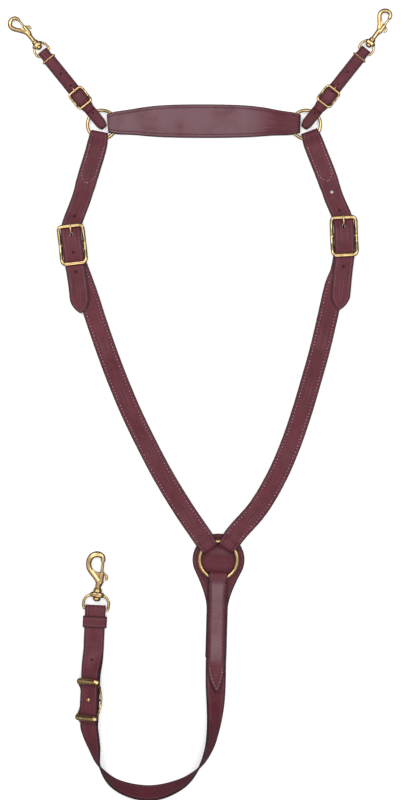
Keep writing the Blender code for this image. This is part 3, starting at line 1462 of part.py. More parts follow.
def build_snaps():
    """The two tug snaps and the larger girth snap."""
    small_z = SNAP_SMALL_EYE_WIRE + 2 * CLEARANCE + TUG_LEATHER
    small_eye = (SNAP_SMALL_EYE_WIRE, SNAP_SMALL_EYE_LENGTH, SNAP_SMALL_EYE_PLAY)
    small_hook = (SMALL_HOOK_PATH, SMALL_WEB_OUTLINE)
    small = SnapSize(SNAP_SMALL, SNAP_SMALL_EXTRA, *small_eye, TUG_FOLD_WIDTH, *small_hook)
    large_eye = (SNAP_EYE_WIRE, SNAP_EYE_LENGTH, SNAP_EYE_PLAY)
    large = SnapSize(1.0, 0.0, *large_eye, STRAP_WIDTH, HOOK_PATH, WEB_OUTLINE)
    up = Vector((0, 0, small_z))
    build_snap("tug_snap_left", small, TUG_LEFT_SNAP + up, TUG_LEFT_SNAP_HEADING)
    build_snap("tug_snap_right", small, TUG_RIGHT_SNAP + up, TUG_RIGHT_SNAP_HEADING)
    build_snap("tie_snap", large, TIE_SNAP + Vector((0, 0, SNAP_Z)), TIE_SNAP_HEADING)


def build_side(side, ring, bar, lean, billet, shoulder, snap, snap_heading):
    """Billet, shoulder strap, buckle and tug of one side."""
    build_billet(side, ring, bar, lean, *billet)
    build_shoulder_strap(side, bar, lean, shoulder)
    build_shoulder_buckle(side, bar, lean)
    build_tug(side, ring, snap[0], snap_heading, snap[1])


def build_sides():
    """Both sides as they lie, each with its own sweep; x and y in millimetres."""
    left_billet = (
        [(-134.0, 317.0), (-143.0, 287.0), (-151.5, 258.0)],
        [(-157.0, 150.0), (-152.8, 111.0)],
        [(-159.4, 231.9), (-158.8, 187.3), (-158.5, 163.0)],
    )
    left_shoulder = [
        (-150.0, 150.0), (-141.9, 127.0), (-135.6, 106.9), (-121.9, 66.9), (-106.9, 26.9),
        (-90.0, -13.1), (-70.6, -53.1), (-49.4, -93.1), (-25.0, -133.1), (-2.5, -166.0),
    ]
    left_tug = [(-176.8, 411.0), (-164.0, 397.0), (-137.1, 361.3)]
    build_side(
        "left", CORNER_RING_LEFT, BUCKLE_LEFT, BUCKLE_LEFT_LEAN, left_billet, left_shoulder,
        (TUG_LEFT_SNAP, left_tug), TUG_LEFT_SNAP_HEADING,
    )
    right_billet = (
        [(140.0, 316.9), (151.9, 286.9), (162.5, 256.9)],
        [(173.5, 160.0), (169.5, 115.5)],
        [(161.0, 263.1), (169.4, 239.4), (175.6, 169.4)],
    )
    right_shoulder = [
        (171.0, 163.0), (164.4, 146.9), (155.0, 106.9), (145.6, 66.9), (134.4, 26.9),
        (122.5, -13.1), (108.7, -53.1), (91.3, -93.1), (67.5, -133.1), (38.0, -167.0),
    ]
    right_tug = [(178.6, 413.3), (165.6, 399.5), (135.9, 363.0)]
    build_side(
        "right", CORNER_RING_RIGHT, BUCKLE_RIGHT, BUCKLE_RIGHT_LEAN, right_billet, right_shoulder,
        (TUG_RIGHT_SNAP, right_tug), TUG_RIGHT_SNAP_HEADING,
    )


def centre_on_origin():
    """Move the whole so that its box stands on the origin, centred in X and Y."""
    graph = bpy.context.evaluated_depsgraph_get()
    low = Vector((1, 1, 1)) * 10
    high = -low
    solids = [obj for obj in bpy.data.objects if not obj.hide_render]
    for obj in solids:
        shape = obj.evaluated_get(graph)
        for vert in shape.to_mesh().vertices:
            place = obj.matrix_world @ vert.co
            low = Vector(map(min, low, place))
            high = Vector(map(max, high, place))
        shape.to_mesh_clear()
    shift = -(low + high) / 2
    shift.z = -low.z
    for obj in bpy.data.objects:
        obj.location += shift


def main():
    clear_scene()
    build_corner_rings()
    build_chest_ring()
    build_wither_strap()
    build_sides()
    build_shield()
    build_tie_strap()
    build_snaps()
    bpy.context.view_layer.update()
    centre_on_origin()


main()
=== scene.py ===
# %% [markdown]
# # A leather breast collar, dressed
#
# The collar lies flat on a white table and is seen from straight above. The solid model
# gives every piece its place. This lesson puts real leather, thread and cast brass on it.

from math import atan2, cos, pi, radians, sin, sqrt, tan

import bpy
from mathutils import Matrix, Vector


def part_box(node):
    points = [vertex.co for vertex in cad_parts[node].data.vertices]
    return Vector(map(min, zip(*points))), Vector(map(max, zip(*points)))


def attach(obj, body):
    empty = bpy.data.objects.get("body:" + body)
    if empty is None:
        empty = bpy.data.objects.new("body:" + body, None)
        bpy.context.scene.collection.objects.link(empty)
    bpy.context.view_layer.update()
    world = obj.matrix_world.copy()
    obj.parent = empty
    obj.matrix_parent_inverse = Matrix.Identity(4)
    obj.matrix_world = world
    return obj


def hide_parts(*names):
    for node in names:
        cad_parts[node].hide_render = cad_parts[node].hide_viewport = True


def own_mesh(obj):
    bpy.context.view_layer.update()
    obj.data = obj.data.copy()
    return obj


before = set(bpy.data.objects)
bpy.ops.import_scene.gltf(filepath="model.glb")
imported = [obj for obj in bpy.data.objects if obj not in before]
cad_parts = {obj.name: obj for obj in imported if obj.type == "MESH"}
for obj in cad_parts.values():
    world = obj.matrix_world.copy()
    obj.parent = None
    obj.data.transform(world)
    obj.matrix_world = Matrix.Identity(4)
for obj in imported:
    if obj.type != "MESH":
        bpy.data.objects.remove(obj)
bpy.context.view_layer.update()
MM = 0.001

# %% [markdown]
# ## The camera
#
# The photograph is 406 by 800 pixels and one pixel is 1.25 mm on the table. A long lens
# high above the table keeps the straps as parallel as they look there. The frame's middle
# is a point on the table, so the camera stands straight above it. The solid model was moved
# to stand on the frame's origin: its chest ring tells how far.

# %% Camera
PIXEL = 1.25 * MM
PHOTO_WIDTH = 406
PHOTO_HEIGHT = 800
PHOTO_ORIGIN = (203.5, 402.5)
CHEST_RING = Vector((18.8, -196.3, 0)) * MM
CHEST_RING_Z = 8.3 * MM

low_corner, high_corner = (Vector(corner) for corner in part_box("chest_ring"))
shift = (low_corner + high_corner) / 2 - CHEST_RING - Vector((0, 0, CHEST_RING_Z))
print("shift of the solid model", [round(v / MM, 3) for v in shift])


def on_table(x, y):
    """The point of the table that a pixel of the photograph shows."""
    across = (x - PHOTO_ORIGIN[0]) * PIXEL
    up = (PHOTO_ORIGIN[1] - y) * PIXEL
    return Vector((across + shift.x, up + shift.y, 0))


LENS = 120.0
SENSOR = 36.0
camera_data = bpy.data.cameras.new("camera")
camera_data.lens = LENS
camera_data.sensor_width = SENSOR
camera = bpy.data.objects.new("camera", camera_data)
bpy.context.scene.collection.objects.link(camera)
camera_height = PHOTO_HEIGHT * PIXEL * LENS / SENSOR
camera.location = on_table(PHOTO_WIDTH / 2, PHOTO_HEIGHT / 2) + Vector((0, 0, camera_height))
bpy.context.scene.camera = camera
print("camera height", round(camera_height, 3))

# %% [markdown]
# ## The table and the light
#
# A white table top fills the view. Three broad soft lamps above, a large low one at the
# left and a pale sky light the collar, as in a product studio. The sky is darker near the
# horizon, which gives the brass its darker edges. A material is a tree of nodes, and small
# helpers add a node with its inputs. The table is whiter to the camera than to the lamps.

# %% Nodes


def set_inputs(tree, node, values):
    """Give a node's inputs, by name or number, fixed values or links."""
    for key, value in values.items():
        if isinstance(value, bpy.types.NodeSocket):
            tree.links.new(value, node.inputs[key])
        else:
            node.inputs[key].default_value = value


def add_node(tree, kind, inputs, **settings):
    """A new node with its settings and inputs."""
    node = tree.nodes.new("ShaderNode" + kind)
    for key, value in settings.items():
        setattr(node, key, value)
    set_inputs(tree, node, inputs)
    return node


def math_node(tree, operation, *values):
    """A Math node with numbers or sockets as its inputs."""
    return add_node(tree, "Math", dict(enumerate(values)), operation=operation).outputs[0]


def mix_colour(tree, factor, low, high):
    """A colour between two, each a socket or a fixed colour."""
    low, high = ((*c, 1) if isinstance(c, tuple) else c for c in (low, high))
    return add_node(tree, "Mix", {0: factor, 6: low, 7: high}, data_type="RGBA").outputs[2]


def new_material(name):
    """A material with its node tree, its Principled shader and its object coordinates."""
    made = bpy.data.materials.new(name)
    made.use_nodes = True
    tree = made.node_tree
    place = add_node(tree, "TexCoord", {}).outputs["Object"]
    return made, tree, tree.nodes["Principled BSDF"], place


# %% Table and light
TABLE_SIZE = 6.0
TABLE_BELOW = 0.2 * MM
TABLE_TO_LAMPS = (0.22, 0.22, 0.22)
TABLE_TO_CAMERA = (0.86, 0.86, 0.86)
TABLE_GLOW = 0.40

bpy.ops.object.select_all(action="DESELECT")
bpy.ops.mesh.primitive_plane_add(size=TABLE_SIZE, location=(0, 0, -TABLE_BELOW))
table = bpy.context.active_object
table.name = "table"
table_material, tree, shader, _ = new_material("table_white")
seen = add_node(tree, "LightPath", {}).outputs["Is Camera Ray"]
white = mix_colour(tree, seen, TABLE_TO_LAMPS, TABLE_TO_CAMERA)
set_inputs(tree, shader, {"Base Color": white, "Roughness": 0.9, "Specular IOR Level": 0.0})
glow = math_node(tree, "MULTIPLY", seen, TABLE_GLOW)
set_inputs(tree, shader, {"Emission Color": (1, 1, 1, 1), "Emission Strength": glow})
table.data.materials.append(table_material)

world = bpy.data.worlds.new("studio")
bpy.context.scene.world = world
world.use_nodes = True
tree = world.node_tree
around = add_node(tree, "TexCoord", {}).outputs["Generated"]
above = add_node(tree, "SeparateXYZ", {0: around}).outputs["Z"]
ramp = add_node(tree, "ValToRGB", {0: above})
SKY = [
    # height above the horizon, grey
    (0.0, 0.03),
    (0.45, 0.10),
    (0.85, 0.85),
]
ramp.color_ramp.elements.new(0.5)
for stop, (height, grey) in zip(ramp.color_ramp.elements, SKY):
    stop.position = height
    stop.color = (grey, grey, grey, 1)
set_inputs(tree, tree.nodes["Background"], {"Color": ramp.outputs[0], "Strength": 1.0})

LAMPS = [
    # name, place, size, watts
    ("lamp_top_left", (-0.9, 0.9, 1.9), 1.1, 15.0),
    ("lamp_top_right", (0.9, 0.5, 1.9), 1.1, 12.0),
    ("lamp_foot", (0.1, -1.3, 1.7), 1.0, 8.5),
    ("lamp_low_left", (-1.75, -0.35, 0.9), 2.0, 5.0),
]
for name, place, size, watts in LAMPS:
    light = bpy.data.lights.new(name, "AREA")
    light.shape = "SQUARE"
    light.size = size
    light.energy = watts
    lamp = bpy.data.objects.new(name, light)
    lamp.location = place
    lamp.rotation_euler = (-Vector(place)).to_track_quat("-Z", "Y").to_euler()
    bpy.context.scene.collection.objects.link(lamp)

# %% [markdown]
# ## The finishes
#
# Bridle leather is dyed through, waxed and pressed. Up close it has fine pores, slight
# clouds of colour, faint streaks along the strap, a creased line just inside each edge or a
# sunk channel under the stitches, and a dark rim. The crease and the channel are darkened
# with painted shade, and the crease's raised side has a painted highlight. The strap's own
# map holds real lengths: u runs along the strap, v is the distance from its nearer edge.
# That lets the material draw lines that follow the edge. On the wither strap and the tie
# strap's front, a pale painted sheen, a highlight painted into the colour, lies on top.

# %% Leather
CREASE_FROM_EDGE = 2.0 * MM
STITCH_FROM_EDGE = 4.0 * MM
TUG_STITCH = 2.3 * MM
FRONT_STITCH = 3.0 * MM
# A line has half a width, a shade of the dark leather painted into its groove as shade, and a depth
SHADED_CREASE = (0.7 * MM, 0.45, -1.6)
SHADED_CHANNEL = (1.2 * MM, 0.6, -2.2)
# Half width of the painted highlight on the crease's raised side
RIDGE_HIGHLIGHT = 0.9 * MM
RIM_WIDTH = 2.2 * MM
# Patterns in cells per metre; the streaks' are along and across the strap
STREAKS = (26.0, 640.0, 0.0)
CLOUDS = 34.0
MOTTLE = 240.0
PORES = 1500.0
FIBRE = 3200.0
# Colours as red, green and blue
BURGUNDY = (0.142, 0.032, 0.045)
BURGUNDY_DARK = (0.092, 0.020, 0.029)
# Pale tone of the random streaks, also used for painted highlights and a painted sheen
PALE_STREAK_AND_HIGHLIGHT = (0.185, 0.100, 0.116)
RIM = (0.035, 0.016, 0.021)

# %% [markdown]
# Noise gives clouds and pores. An eased range turns noise into soft patches, and a smooth
# band draws a line at a distance from the edge.

# %% Patterns


def noise(tree, vector, scale, detail=4.0, roughness=0.55):
    """Noise of a scale in cells per metre."""
    inputs = {"Vector": vector, "Scale": scale, "Detail": detail, "Roughness": roughness}
    return add_node(tree, "TexNoise", inputs).outputs["Fac"]


def eased_range(tree, value, start, end, ease="SMOOTHSTEP"):
    """0 at start, easing to 1 at end."""
    inputs = {"Value": value, "From Min": start, "From Max": end}
    return add_node(tree, "MapRange", inputs, interpolation_type=ease).outputs["Result"]


def smooth_band(tree, value, centre, half):
    """1 on a line at centre, easing to 0 at half a width on either side."""
    away = math_node(tree, "ABSOLUTE", math_node(tree, "SUBTRACT", value, centre))
    return eased_range(tree, away, half, 0.0)


def cover(tree, base, share, strength, colour):
    """A colour laid over a base, by a share of a strength."""
    return mix_colour(tree, math_node(tree, "MULTIPLY", share, strength), base, colour)


def relief(tree, shader, height, strength, distance):
    """Fine bumps of a height."""
    inputs = {"Strength": strength, "Distance": distance, "Height": height}
    set_inputs(tree, shader, {"Normal": add_node(tree, "Bump", inputs).outputs[0]})


# %% [markdown]
# One function makes every leather. It starts with the plain hide and adds what the strap's
# map allows: streaks, a painted sheen, a creased line or a channel darkened with painted
# shade, and the dark rim.

# %% Leather material


def leather_material(
    name, crease=True, channel=None, painted_sheen=None, colour=BURGUNDY, dark=BURGUNDY_DARK, roughness=0.42
):
    """Waxed leather; a crease or channel with painted shade follows the edges, a painted sheen lies
    round a place.
    """
    made, tree, shader, place = new_material(name)
    clouds = noise(tree, place, CLOUDS)
    mottle = noise(tree, place, MOTTLE, 5.0, 0.65)
    fibre = noise(tree, place, FIBRE, 2.0)
    pores = add_node(tree, "TexVoronoi", {"Vector": place, "Scale": PORES}).outputs["Distance"]
    blend = math_node(tree, "MULTIPLY_ADD", mottle, 0.5, math_node(tree, "MULTIPLY", clouds, 0.65))
    base = mix_colour(tree, eased_range(tree, blend, 0.36, 0.80), dark, colour)
    height = math_node(tree, "MULTIPLY", pores, 0.5)
    height = math_node(tree, "MULTIPLY_ADD", fibre, 0.35, height)
    height = math_node(tree, "MULTIPLY_ADD", mottle, 0.6, height)
    if crease or channel:
        strap_map = add_node(tree, "UVMap", {}, uv_map="strap").outputs[0]
        edge = add_node(tree, "SeparateXYZ", {0: strap_map}).outputs["Y"]
        drawn = add_node(tree, "VectorMath", {0: strap_map, 1: STREAKS}, operation="MULTIPLY")
        for scale, strength, tint in ((1.0, 0.35, PALE_STREAK_AND_HIGHLIGHT), (1.7, 0.45, dark)):
            streaks = noise(tree, drawn.outputs[0], scale, 2.0)
            base = cover(tree, base, eased_range(tree, streaks, 0.50, 0.72), strength, tint)
    # A painted sheen: a pale highlight painted into the colour round a place, kept off the edges
    if painted_sheen:
        centre, near, far, strength, inner = painted_sheen
        away = add_node(tree, "VectorMath", {0: place, 1: centre}, operation="DISTANCE")
        amount = eased_range(tree, away.outputs["Value"], far, near)
        inside = eased_range(tree, edge, inner, inner + 1.2 * MM)
        for share in (inside, eased_range(tree, clouds, 0.05, 0.62)):
            amount = math_node(tree, "MULTIPLY", amount, share)
        base = cover(tree, base, amount, strength, PALE_STREAK_AND_HIGHLIGHT)
    lines = [(channel, *SHADED_CHANNEL)] if channel else []
    if crease:
        # Beside the crease, its raised side gets a painted highlight
        ridge_highlight = smooth_band(tree, edge, CREASE_FROM_EDGE + RIDGE_HIGHLIGHT, RIDGE_HIGHLIGHT)
        base = cover(tree, base, ridge_highlight, 0.5, PALE_STREAK_AND_HIGHLIGHT)
        lines.append((CREASE_FROM_EDGE, *SHADED_CREASE))
    # The crease and the channel are darkened with painted shade, and sunk by the bump
    for from_edge, half, shade, depth in lines:
        line = smooth_band(tree, edge, from_edge, half)
        base = cover(tree, base, line, 0.7, tuple(c * shade for c in dark))
        height = math_node(tree, "MULTIPLY_ADD", line, depth, height)
    if lines:
        base = cover(tree, base, smooth_band(tree, edge, 0.0, RIM_WIDTH), 0.9, RIM)
    gloss = math_node(tree, "MULTIPLY_ADD", mottle, 0.2, roughness - 0.1)
    set_inputs(tree, shader, {"Base Color": base, "Roughness": gloss, "Specular IOR Level": 0.13})
    relief(tree, shader, height, 0.3, 0.25 * MM)
    return made


# %% All leathers
stitched_leather = leather_material("stitched_bridle_leather", False, STITCH_FROM_EDGE)
plain_leather = leather_material("plain_bridle_leather")
tug_leather = leather_material("tug_bridle_leather", False, TUG_STITCH)
# A painted sheen, a pale highlight painted into the colour, has a centre, a radius where it
# fades and one where it ends, a strength, and how far it keeps from the edge
wither_painted_sheen = (on_table(180, 121), 80 * MM, 122 * MM, 0.9, 0.4 * MM)
wither_sheen_finish = leather_material("wither_leather_painted_sheen", False, STITCH_FROM_EDGE, wither_painted_sheen)
front_painted_sheen = (on_table(217.5, 621), 42 * MM, 58 * MM, 1.0, FRONT_STITCH + 0.6 * MM)
tie_sheen_finish = leather_material("tie_leather_painted_sheen", painted_sheen=front_painted_sheen)
lining_leather = leather_material(
    "lining_leather", False, colour=(0.16, 0.052, 0.060), dark=(0.10, 0.030, 0.036), roughness=0.62
)
edge_leather = leather_material(
    "dressed_edge", False, colour=(0.042, 0.020, 0.026), dark=(0.024, 0.011, 0.014), roughness=0.38
)

# %% [markdown]
# Cast brass is polished but handled: the colour drifts a little, there are fine casting
# pits and the gloss is uneven. Metal has no diffuse colour, so all of its look is in the
# reflection of the pale sky and the lamps.

# %% Brass, steel and thread
TARNISH = 160.0
PITS = 420.0
STRANDS = 700.0


def brass_material(name, colour, dark, roughness):
    """Polished cast brass with slight tarnish and fine pits."""
    made, tree, shader, place = new_material(name)
    tarnish = noise(tree, place, TARNISH, 4.0, 0.6)
    base = mix_colour(tree, eased_range(tree, tarnish, 0.35, 0.65, "LINEAR"), dark, colour)
    gloss = math_node(tree, "MULTIPLY_ADD", tarnish, 0.18, roughness - 0.09)
    set_inputs(tree, shader, {"Base Color": base, "Metallic": 1.0, "Roughness": gloss})
    relief(tree, shader, noise(tree, place, PITS, 2.0), 0.06, 0.15 * MM)
    return made


def thread_material(name, low, high):
    """Waxed linen thread, with fine strands."""
    made, tree, shader, place = new_material(name)
    strands = eased_range(tree, noise(tree, place, STRANDS, 3.0), 0.35, 0.68)
    base = mix_colour(tree, strands, low, high)
    set_inputs(tree, shader, {"Base Color": base, "Roughness": 0.7, "Specular IOR Level": 0.2})
    return made


polished_brass = brass_material("polished_brass", (0.65, 0.465, 0.24), (0.45, 0.30, 0.12), 0.22)
spring_steel = brass_material("spring_steel", (0.62, 0.61, 0.58), (0.5, 0.49, 0.46), 0.3)
pale_thread = thread_material("pale_thread", (0.20, 0.08, 0.09), (0.62, 0.39, 0.37))
dark_thread = thread_material("dark_thread", (0.045, 0.008, 0.014), (0.20, 0.07, 0.085))

# %% [markdown]
# ## The run of a strap
#
# A strap follows a route: a smooth line through points on the table, with a tilt where it
# turns on its edge. The same rules made the solid model, so the leather fits it. Each route
# becomes a curve object. A strap, its holes and its stitches are made straight and flat,
# with X along the strap, and the Curve modifier then bends them all along the same line.

# %% Routes
LEATHER = 2.4 * MM
LINING = LEATHER - 0.2 * MM
TUG_LEATHER = 2.1 * MM
SHIELD_TOP = 3.1 * MM
LAMINATE = 5.3 * MM
CLEARANCE = 0.3 * MM
THROAT = 4.0 * MM
SKIVE = 2.0 * MM
STRAP_HALF = 12.7 * MM
TURN_BACK = 62.0 * MM

CORNER_RING_RADIUS = 18.0 * MM
CORNER_RING_WIRE = 2.0 * MM
CHEST_RING_RADIUS = 23.5 * MM
CHEST_RING_WIRE = 2.5 * MM
CORNER_RING_LEFT = Vector((-126.9, 346.9, 0)) * MM
CORNER_RING_RIGHT = Vector((128.1, 346.9, 0)) * MM
CORNER_RING_Z = 4.7 * MM


def on_plan(points):
    """Points of the plan from pairs of millimetres."""
    return [Vector((*point, 0)) * MM for point in points]


def blend(low, high, share):
    """Ease from one value to another."""
    share = min(max(share, 0.0), 1.0)
    return low + (high - low) * share * share * (3 - 2 * share)


def eased(points, s):
    """Value at s of a list of (s, value) points, eased between them."""
    if s <= points[0][0]:
        return points[0][1]
    for (s0, v0), (s1, v1) in zip(points, points[1:]):
        if s <= s1:
            return blend(v0, v1, (s - s0) / (s1 - s0))
    return points[-1][1]


def spline(points, steps=12):
    """Dense smooth curve through points of any number of values."""
    padded = [2 * points[0] - points[1], *points, 2 * points[-1] - points[-2]]
    curve = []
    for p0, p1, p2, p3 in zip(padded, padded[1:], padded[2:], padded[3:]):
        k01 = sqrt((p1 - p0).to_3d().length)
        k12 = sqrt((p2 - p1).to_3d().length)
        k23 = sqrt((p3 - p2).to_3d().length)
        m1 = (p2 - p1) + k12 * ((p1 - p0) / k01 - (p2 - p0) / (k01 + k12))
        m2 = (p2 - p1) + k12 * ((p3 - p2) / k23 - (p3 - p1) / (k12 + k23))
        for i in range(steps):
            t = i / steps
            a = 2 * t**3 - 3 * t**2 + 1
            b = t**3 - 2 * t**2 + t
            curve.append(a * p1 + b * m1 + (1 - a) * p2 + (t**3 - t**2) * m2)
    curve.append(points[-1].copy())
    return curve


class Route:
    """A smooth line with a tilt, and the curve object that bends pieces along it."""

    def __init__(self, points, tilts=None, offset=None, steps=12):
        tilts = tilts or [0.0] * len(points)
        four = [Vector((*p, radians(t) * MM)) for p, t in zip(points, tilts)]
        self.points = spline(four, steps)
        self.s = [0.0]
        for a, b in zip(self.points, self.points[1:]):
            self.s.append(self.s[-1] + (b - a).to_3d().length)
        self.length = self.s[-1]
        offset = shift if offset is None else offset
        data = bpy.data.curves.new("route", "CURVE")
        data.dimensions = "3D"
        data.twist_mode = "Z_UP"
        line = data.splines.new("POLY")
        line.points.add(len(self.points) - 1)
        for knot, point in zip(line.points, self.points):
            knot.co = (*(point.to_3d() + offset), 1)
            knot.tilt = point[3] / MM
        self.curve = bpy.data.objects.new("route", data)
        bpy.context.scene.collection.objects.link(self.curve)

    def nearest(self, point, after=0.0):
        """Length s at which the route passes a point, looked for after a length."""
        best = (1.0, 0.0)
        for a, b, s in zip(self.points, self.points[1:], self.s):
            run = b.to_3d().xy - a.to_3d().xy
            share = min(max((point.xy - a.to_3d().xy).dot(run) / run.length_squared, 0.0), 1.0)
            gap = (a.to_3d().xy + run * share - point.xy).length
            if s >= after and gap < best[0]:
                best = (gap, s + share * run.length)
        return best[1]


# %% [markdown]
# ## A strip of leather
#
# Every strap is one long strip, folded back on itself round a ring or a bar. A bent box
# would not show two layers with the metal between them. So one row of edges is placed at
# the strip's end and extruded step by step along its side view: along one layer, round the
# metal, and back. It is scaled where the strap narrows. Solidify then gives the thickness
# and Bevel rounds the cut edges. The strip's map keeps its real lengths: the length along
# it and the distance from its nearer edge.

# %% Strips
STEP = 5.0 * MM
FINE_STEP = 2.5 * MM
COLUMNS = 8
EDGE_ROUND = 0.5 * MM
FOLD_STEPS = 14


def no_selection():
    """Leave edit mode and deselect everything."""
    if bpy.context.object and bpy.context.object.mode != "OBJECT":
        bpy.ops.object.mode_set(mode="OBJECT")
    bpy.ops.object.select_all(action="DESELECT")


def pick(piece):
    """Make one piece the selected and active one."""
    no_selection()
    piece.select_set(True)
    bpy.context.view_layer.objects.active = piece


def apply_modifier(piece, kind, **settings):
    """Add a modifier with its settings and apply it."""
    pick(piece)
    modifier = piece.modifiers.new(kind.lower(), kind)
    for key, value in settings.items():
        setattr(modifier, key, value)
    bpy.ops.object.modifier_apply(modifier=modifier.name)


def apply_place(piece):
    """Put the object's place into its mesh."""
    pick(piece)
    bpy.ops.object.transform_apply(location=True, rotation=True, scale=True)


def edit_select(piece, test):
    """Go into edit mode with just the vertices selected for which a test holds."""
    pick(piece)
    bpy.ops.object.mode_set(mode="EDIT")
    bpy.ops.mesh.select_mode(type="VERT")
    bpy.ops.mesh.select_all(action="DESELECT")
    bpy.ops.object.mode_set(mode="OBJECT")
    for vertex in piece.data.vertices:
        vertex.select = test(vertex.co)
    bpy.ops.object.mode_set(mode="EDIT")
    bpy.ops.mesh.select_mode(type="VERT")


def round_edges(piece, angle=60):
    """Round the edges that are sharper than an angle."""
    limit = radians(angle)
    apply_modifier(
        piece, "BEVEL", width=EDGE_ROUND, segments=3, limit_method="ANGLE", angle_limit=limit
    )


def write_map(piece, measure):
    """Write the strap map; measure gives a vertex its length along and distance from the edge."""
    mesh = piece.data
    strap_map = mesh.uv_layers[0] if mesh.uv_layers else mesh.uv_layers.new()
    strap_map.name = "strap"
    for loop, corner in zip(mesh.loops, strap_map.data):
        corner.uv = measure(loop.vertex_index, mesh.vertices[loop.vertex_index].co)


# %% [markdown]
# A strap's side view is a list of points: length along the route, height and half width.
# A layer runs along the route and a fold turns round the metal.

# %% Side views


def layer(height, halves, start, end, step=STEP):
    """Side view points (s, height, half width) of one layer, in steps."""
    count = max(1, int(abs(end - start) / step))
    marks = [start + (end - start) * i / count for i in range(count + 1)]
    return [(s, eased(height, s), eased(halves, s)) for s in marks]


def fold(at, way, tip, full, centre, outer, thick, halves, rising=True):
    """Side view points of a fold; way is +1 where the strap runs on to higher s."""
    reach = full - tip - thick / 2
    radius = outer - thick / 2
    points = []
    for step in range(1, FOLD_STEPS):
        angle = -pi / 2 + pi * step / FOLD_STEPS
        s = at + way * (full - reach * cos(angle))
        points.append((s, centre + radius * sin(angle), eased(halves, s)))
    return points if rising else points[::-1]


# %% [markdown]
# The strip is extruded along its side view. Then it is mapped, thickened and rounded.

# %% Strip


def strip(name, path, thick, finish):
    """A straight strip of leather, extruded along its side view."""
    s, height, half = path[0]
    no_selection()
    bpy.ops.mesh.primitive_grid_add(
        x_subdivisions=1, y_subdivisions=COLUMNS, size=2 * half, location=(s - half, 0, height)
    )
    piece = bpy.context.active_object
    piece.name = name
    apply_place(piece)
    edit_select(piece, lambda co: co.x < s - half)
    bpy.ops.mesh.delete(type="VERT")
    bpy.ops.mesh.select_all(action="SELECT")
    along = [0.0]
    halves = [half]
    for (s0, z0, half0), (s1, z1, half1) in zip(path, path[1:]):
        move = (s1 - s0, 0, z1 - z0)
        bpy.ops.mesh.extrude_region_move(TRANSFORM_OT_translate={"value": move})
        if abs(half1 - half0) > 0.001 * MM:
            bpy.ops.transform.resize(value=(1, half1 / half0, 1), center_override=(s1, 0, z1))
        along.append(along[-1] + Vector(move).length)
        halves.append(half1)
    bpy.ops.object.mode_set(mode="OBJECT")
    row = COLUMNS + 1
    write_map(piece, lambda i, co: (along[i // row], halves[i // row] - abs(co.y)))
    piece.data.materials.append(finish)
    piece.data.materials.append(edge_leather)
    apply_modifier(
        piece, "SOLIDIFY", thickness=thick, offset=0.0, use_even_offset=True, material_offset_rim=1
    )
    round_edges(piece, 50)
    return piece


# %% [markdown]
# Holes are cut with the Boolean modifier while the strip is straight. Then the strip is
# bent along its route, shaded, and rides on the solid piece that it stands for.

# %% Holes, bend and dress
BELOW = -1 * MM
ABOVE = 20 * MM


def punch(piece, holes=(), slots=()):
    """Cut round holes (s, radius, low, high) and slots (s, length, width, low, high)."""
    cutters = []
    for s, radius, low, high in holes:
        no_selection()
        bpy.ops.mesh.primitive_cylinder_add(
            vertices=24, radius=radius, depth=high - low, location=(s, 0, (low + high) / 2)
        )
        cutters.append(bpy.context.active_object)
    for s, length, width, low, high in slots:
        no_selection()
        bpy.ops.mesh.primitive_cube_add(size=1.0, location=(s, 0, (low + high) / 2))
        cutter = bpy.context.active_object
        cutter.scale = (length, width, high - low)
        apply_place(cutter)
        apply_modifier(cutter, "BEVEL", width=width * 0.45, segments=4, angle_limit=radians(60))
        cutters.append(cutter)
    for cutter in cutters:
        cutter.data.materials.append(edge_leather)
        apply_modifier(piece, "BOOLEAN", operation="DIFFERENCE", solver="EXACT", object=cutter)
        bpy.data.objects.remove(cutter, do_unlink=True)


def bend(piece, route):
    """Lay a straight piece along a route."""
    apply_modifier(piece, "CURVE", object=route.curve, deform_axis="POS_X")


def dress(piece, body, node, angle=40):
    """Shade the piece, let it ride on a body and stand for a node of the solid model."""
    pick(piece)
    bpy.ops.object.shade_smooth_by_angle(angle=radians(angle))
    if node:
        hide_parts(node)
    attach(piece, body)
    print(piece.name, len(piece.data.polygons), "faces")
    return piece


# %% [markdown]
# ## Stitches
#
# The straps are stitched with waxed linen thread, six stitches to the inch and eight on the
# tugs. Each stitch is a short rounded bar of thread that sinks at both ends. One is modelled
# from a sphere. The Array modifier repeats it along a row, one Curve modifier bends the row
# along the strap's edge, and a second one along the strap's own route.

# %% One stitch
STITCH_PITCH = 4.2 * MM
STITCH_SIZE = (2.4 * MM, 0.95 * MM, 0.75 * MM)
STITCH_SLANT = radians(8)
STITCH_PROUD = 0.05 * MM
STITCH_SUNK = 0.30 * MM
ROW_STEP = 4 * MM

no_selection()
bpy.ops.mesh.primitive_uv_sphere_add(segments=8, ring_count=5, radius=0.5)
stitch = bpy.context.active_object
bpy.ops.object.mode_set(mode="EDIT")
bpy.ops.mesh.select_all(action="SELECT")
bpy.ops.transform.rotate(value=pi / 2, orient_axis="Y", center_override=(0, 0, 0))
bpy.ops.transform.resize(value=STITCH_SIZE, center_override=(0, 0, 0))
bpy.ops.transform.rotate(value=STITCH_SLANT, orient_axis="Z", center_override=(0, 0, 0))
bpy.ops.object.mode_set(mode="OBJECT")
stitch.data.materials.append(pale_thread)
for polygon in stitch.data.polygons:
    polygon.use_smooth = True
print("one stitch:", len(stitch.data.polygons), "faces")

# %% Rows of stitches


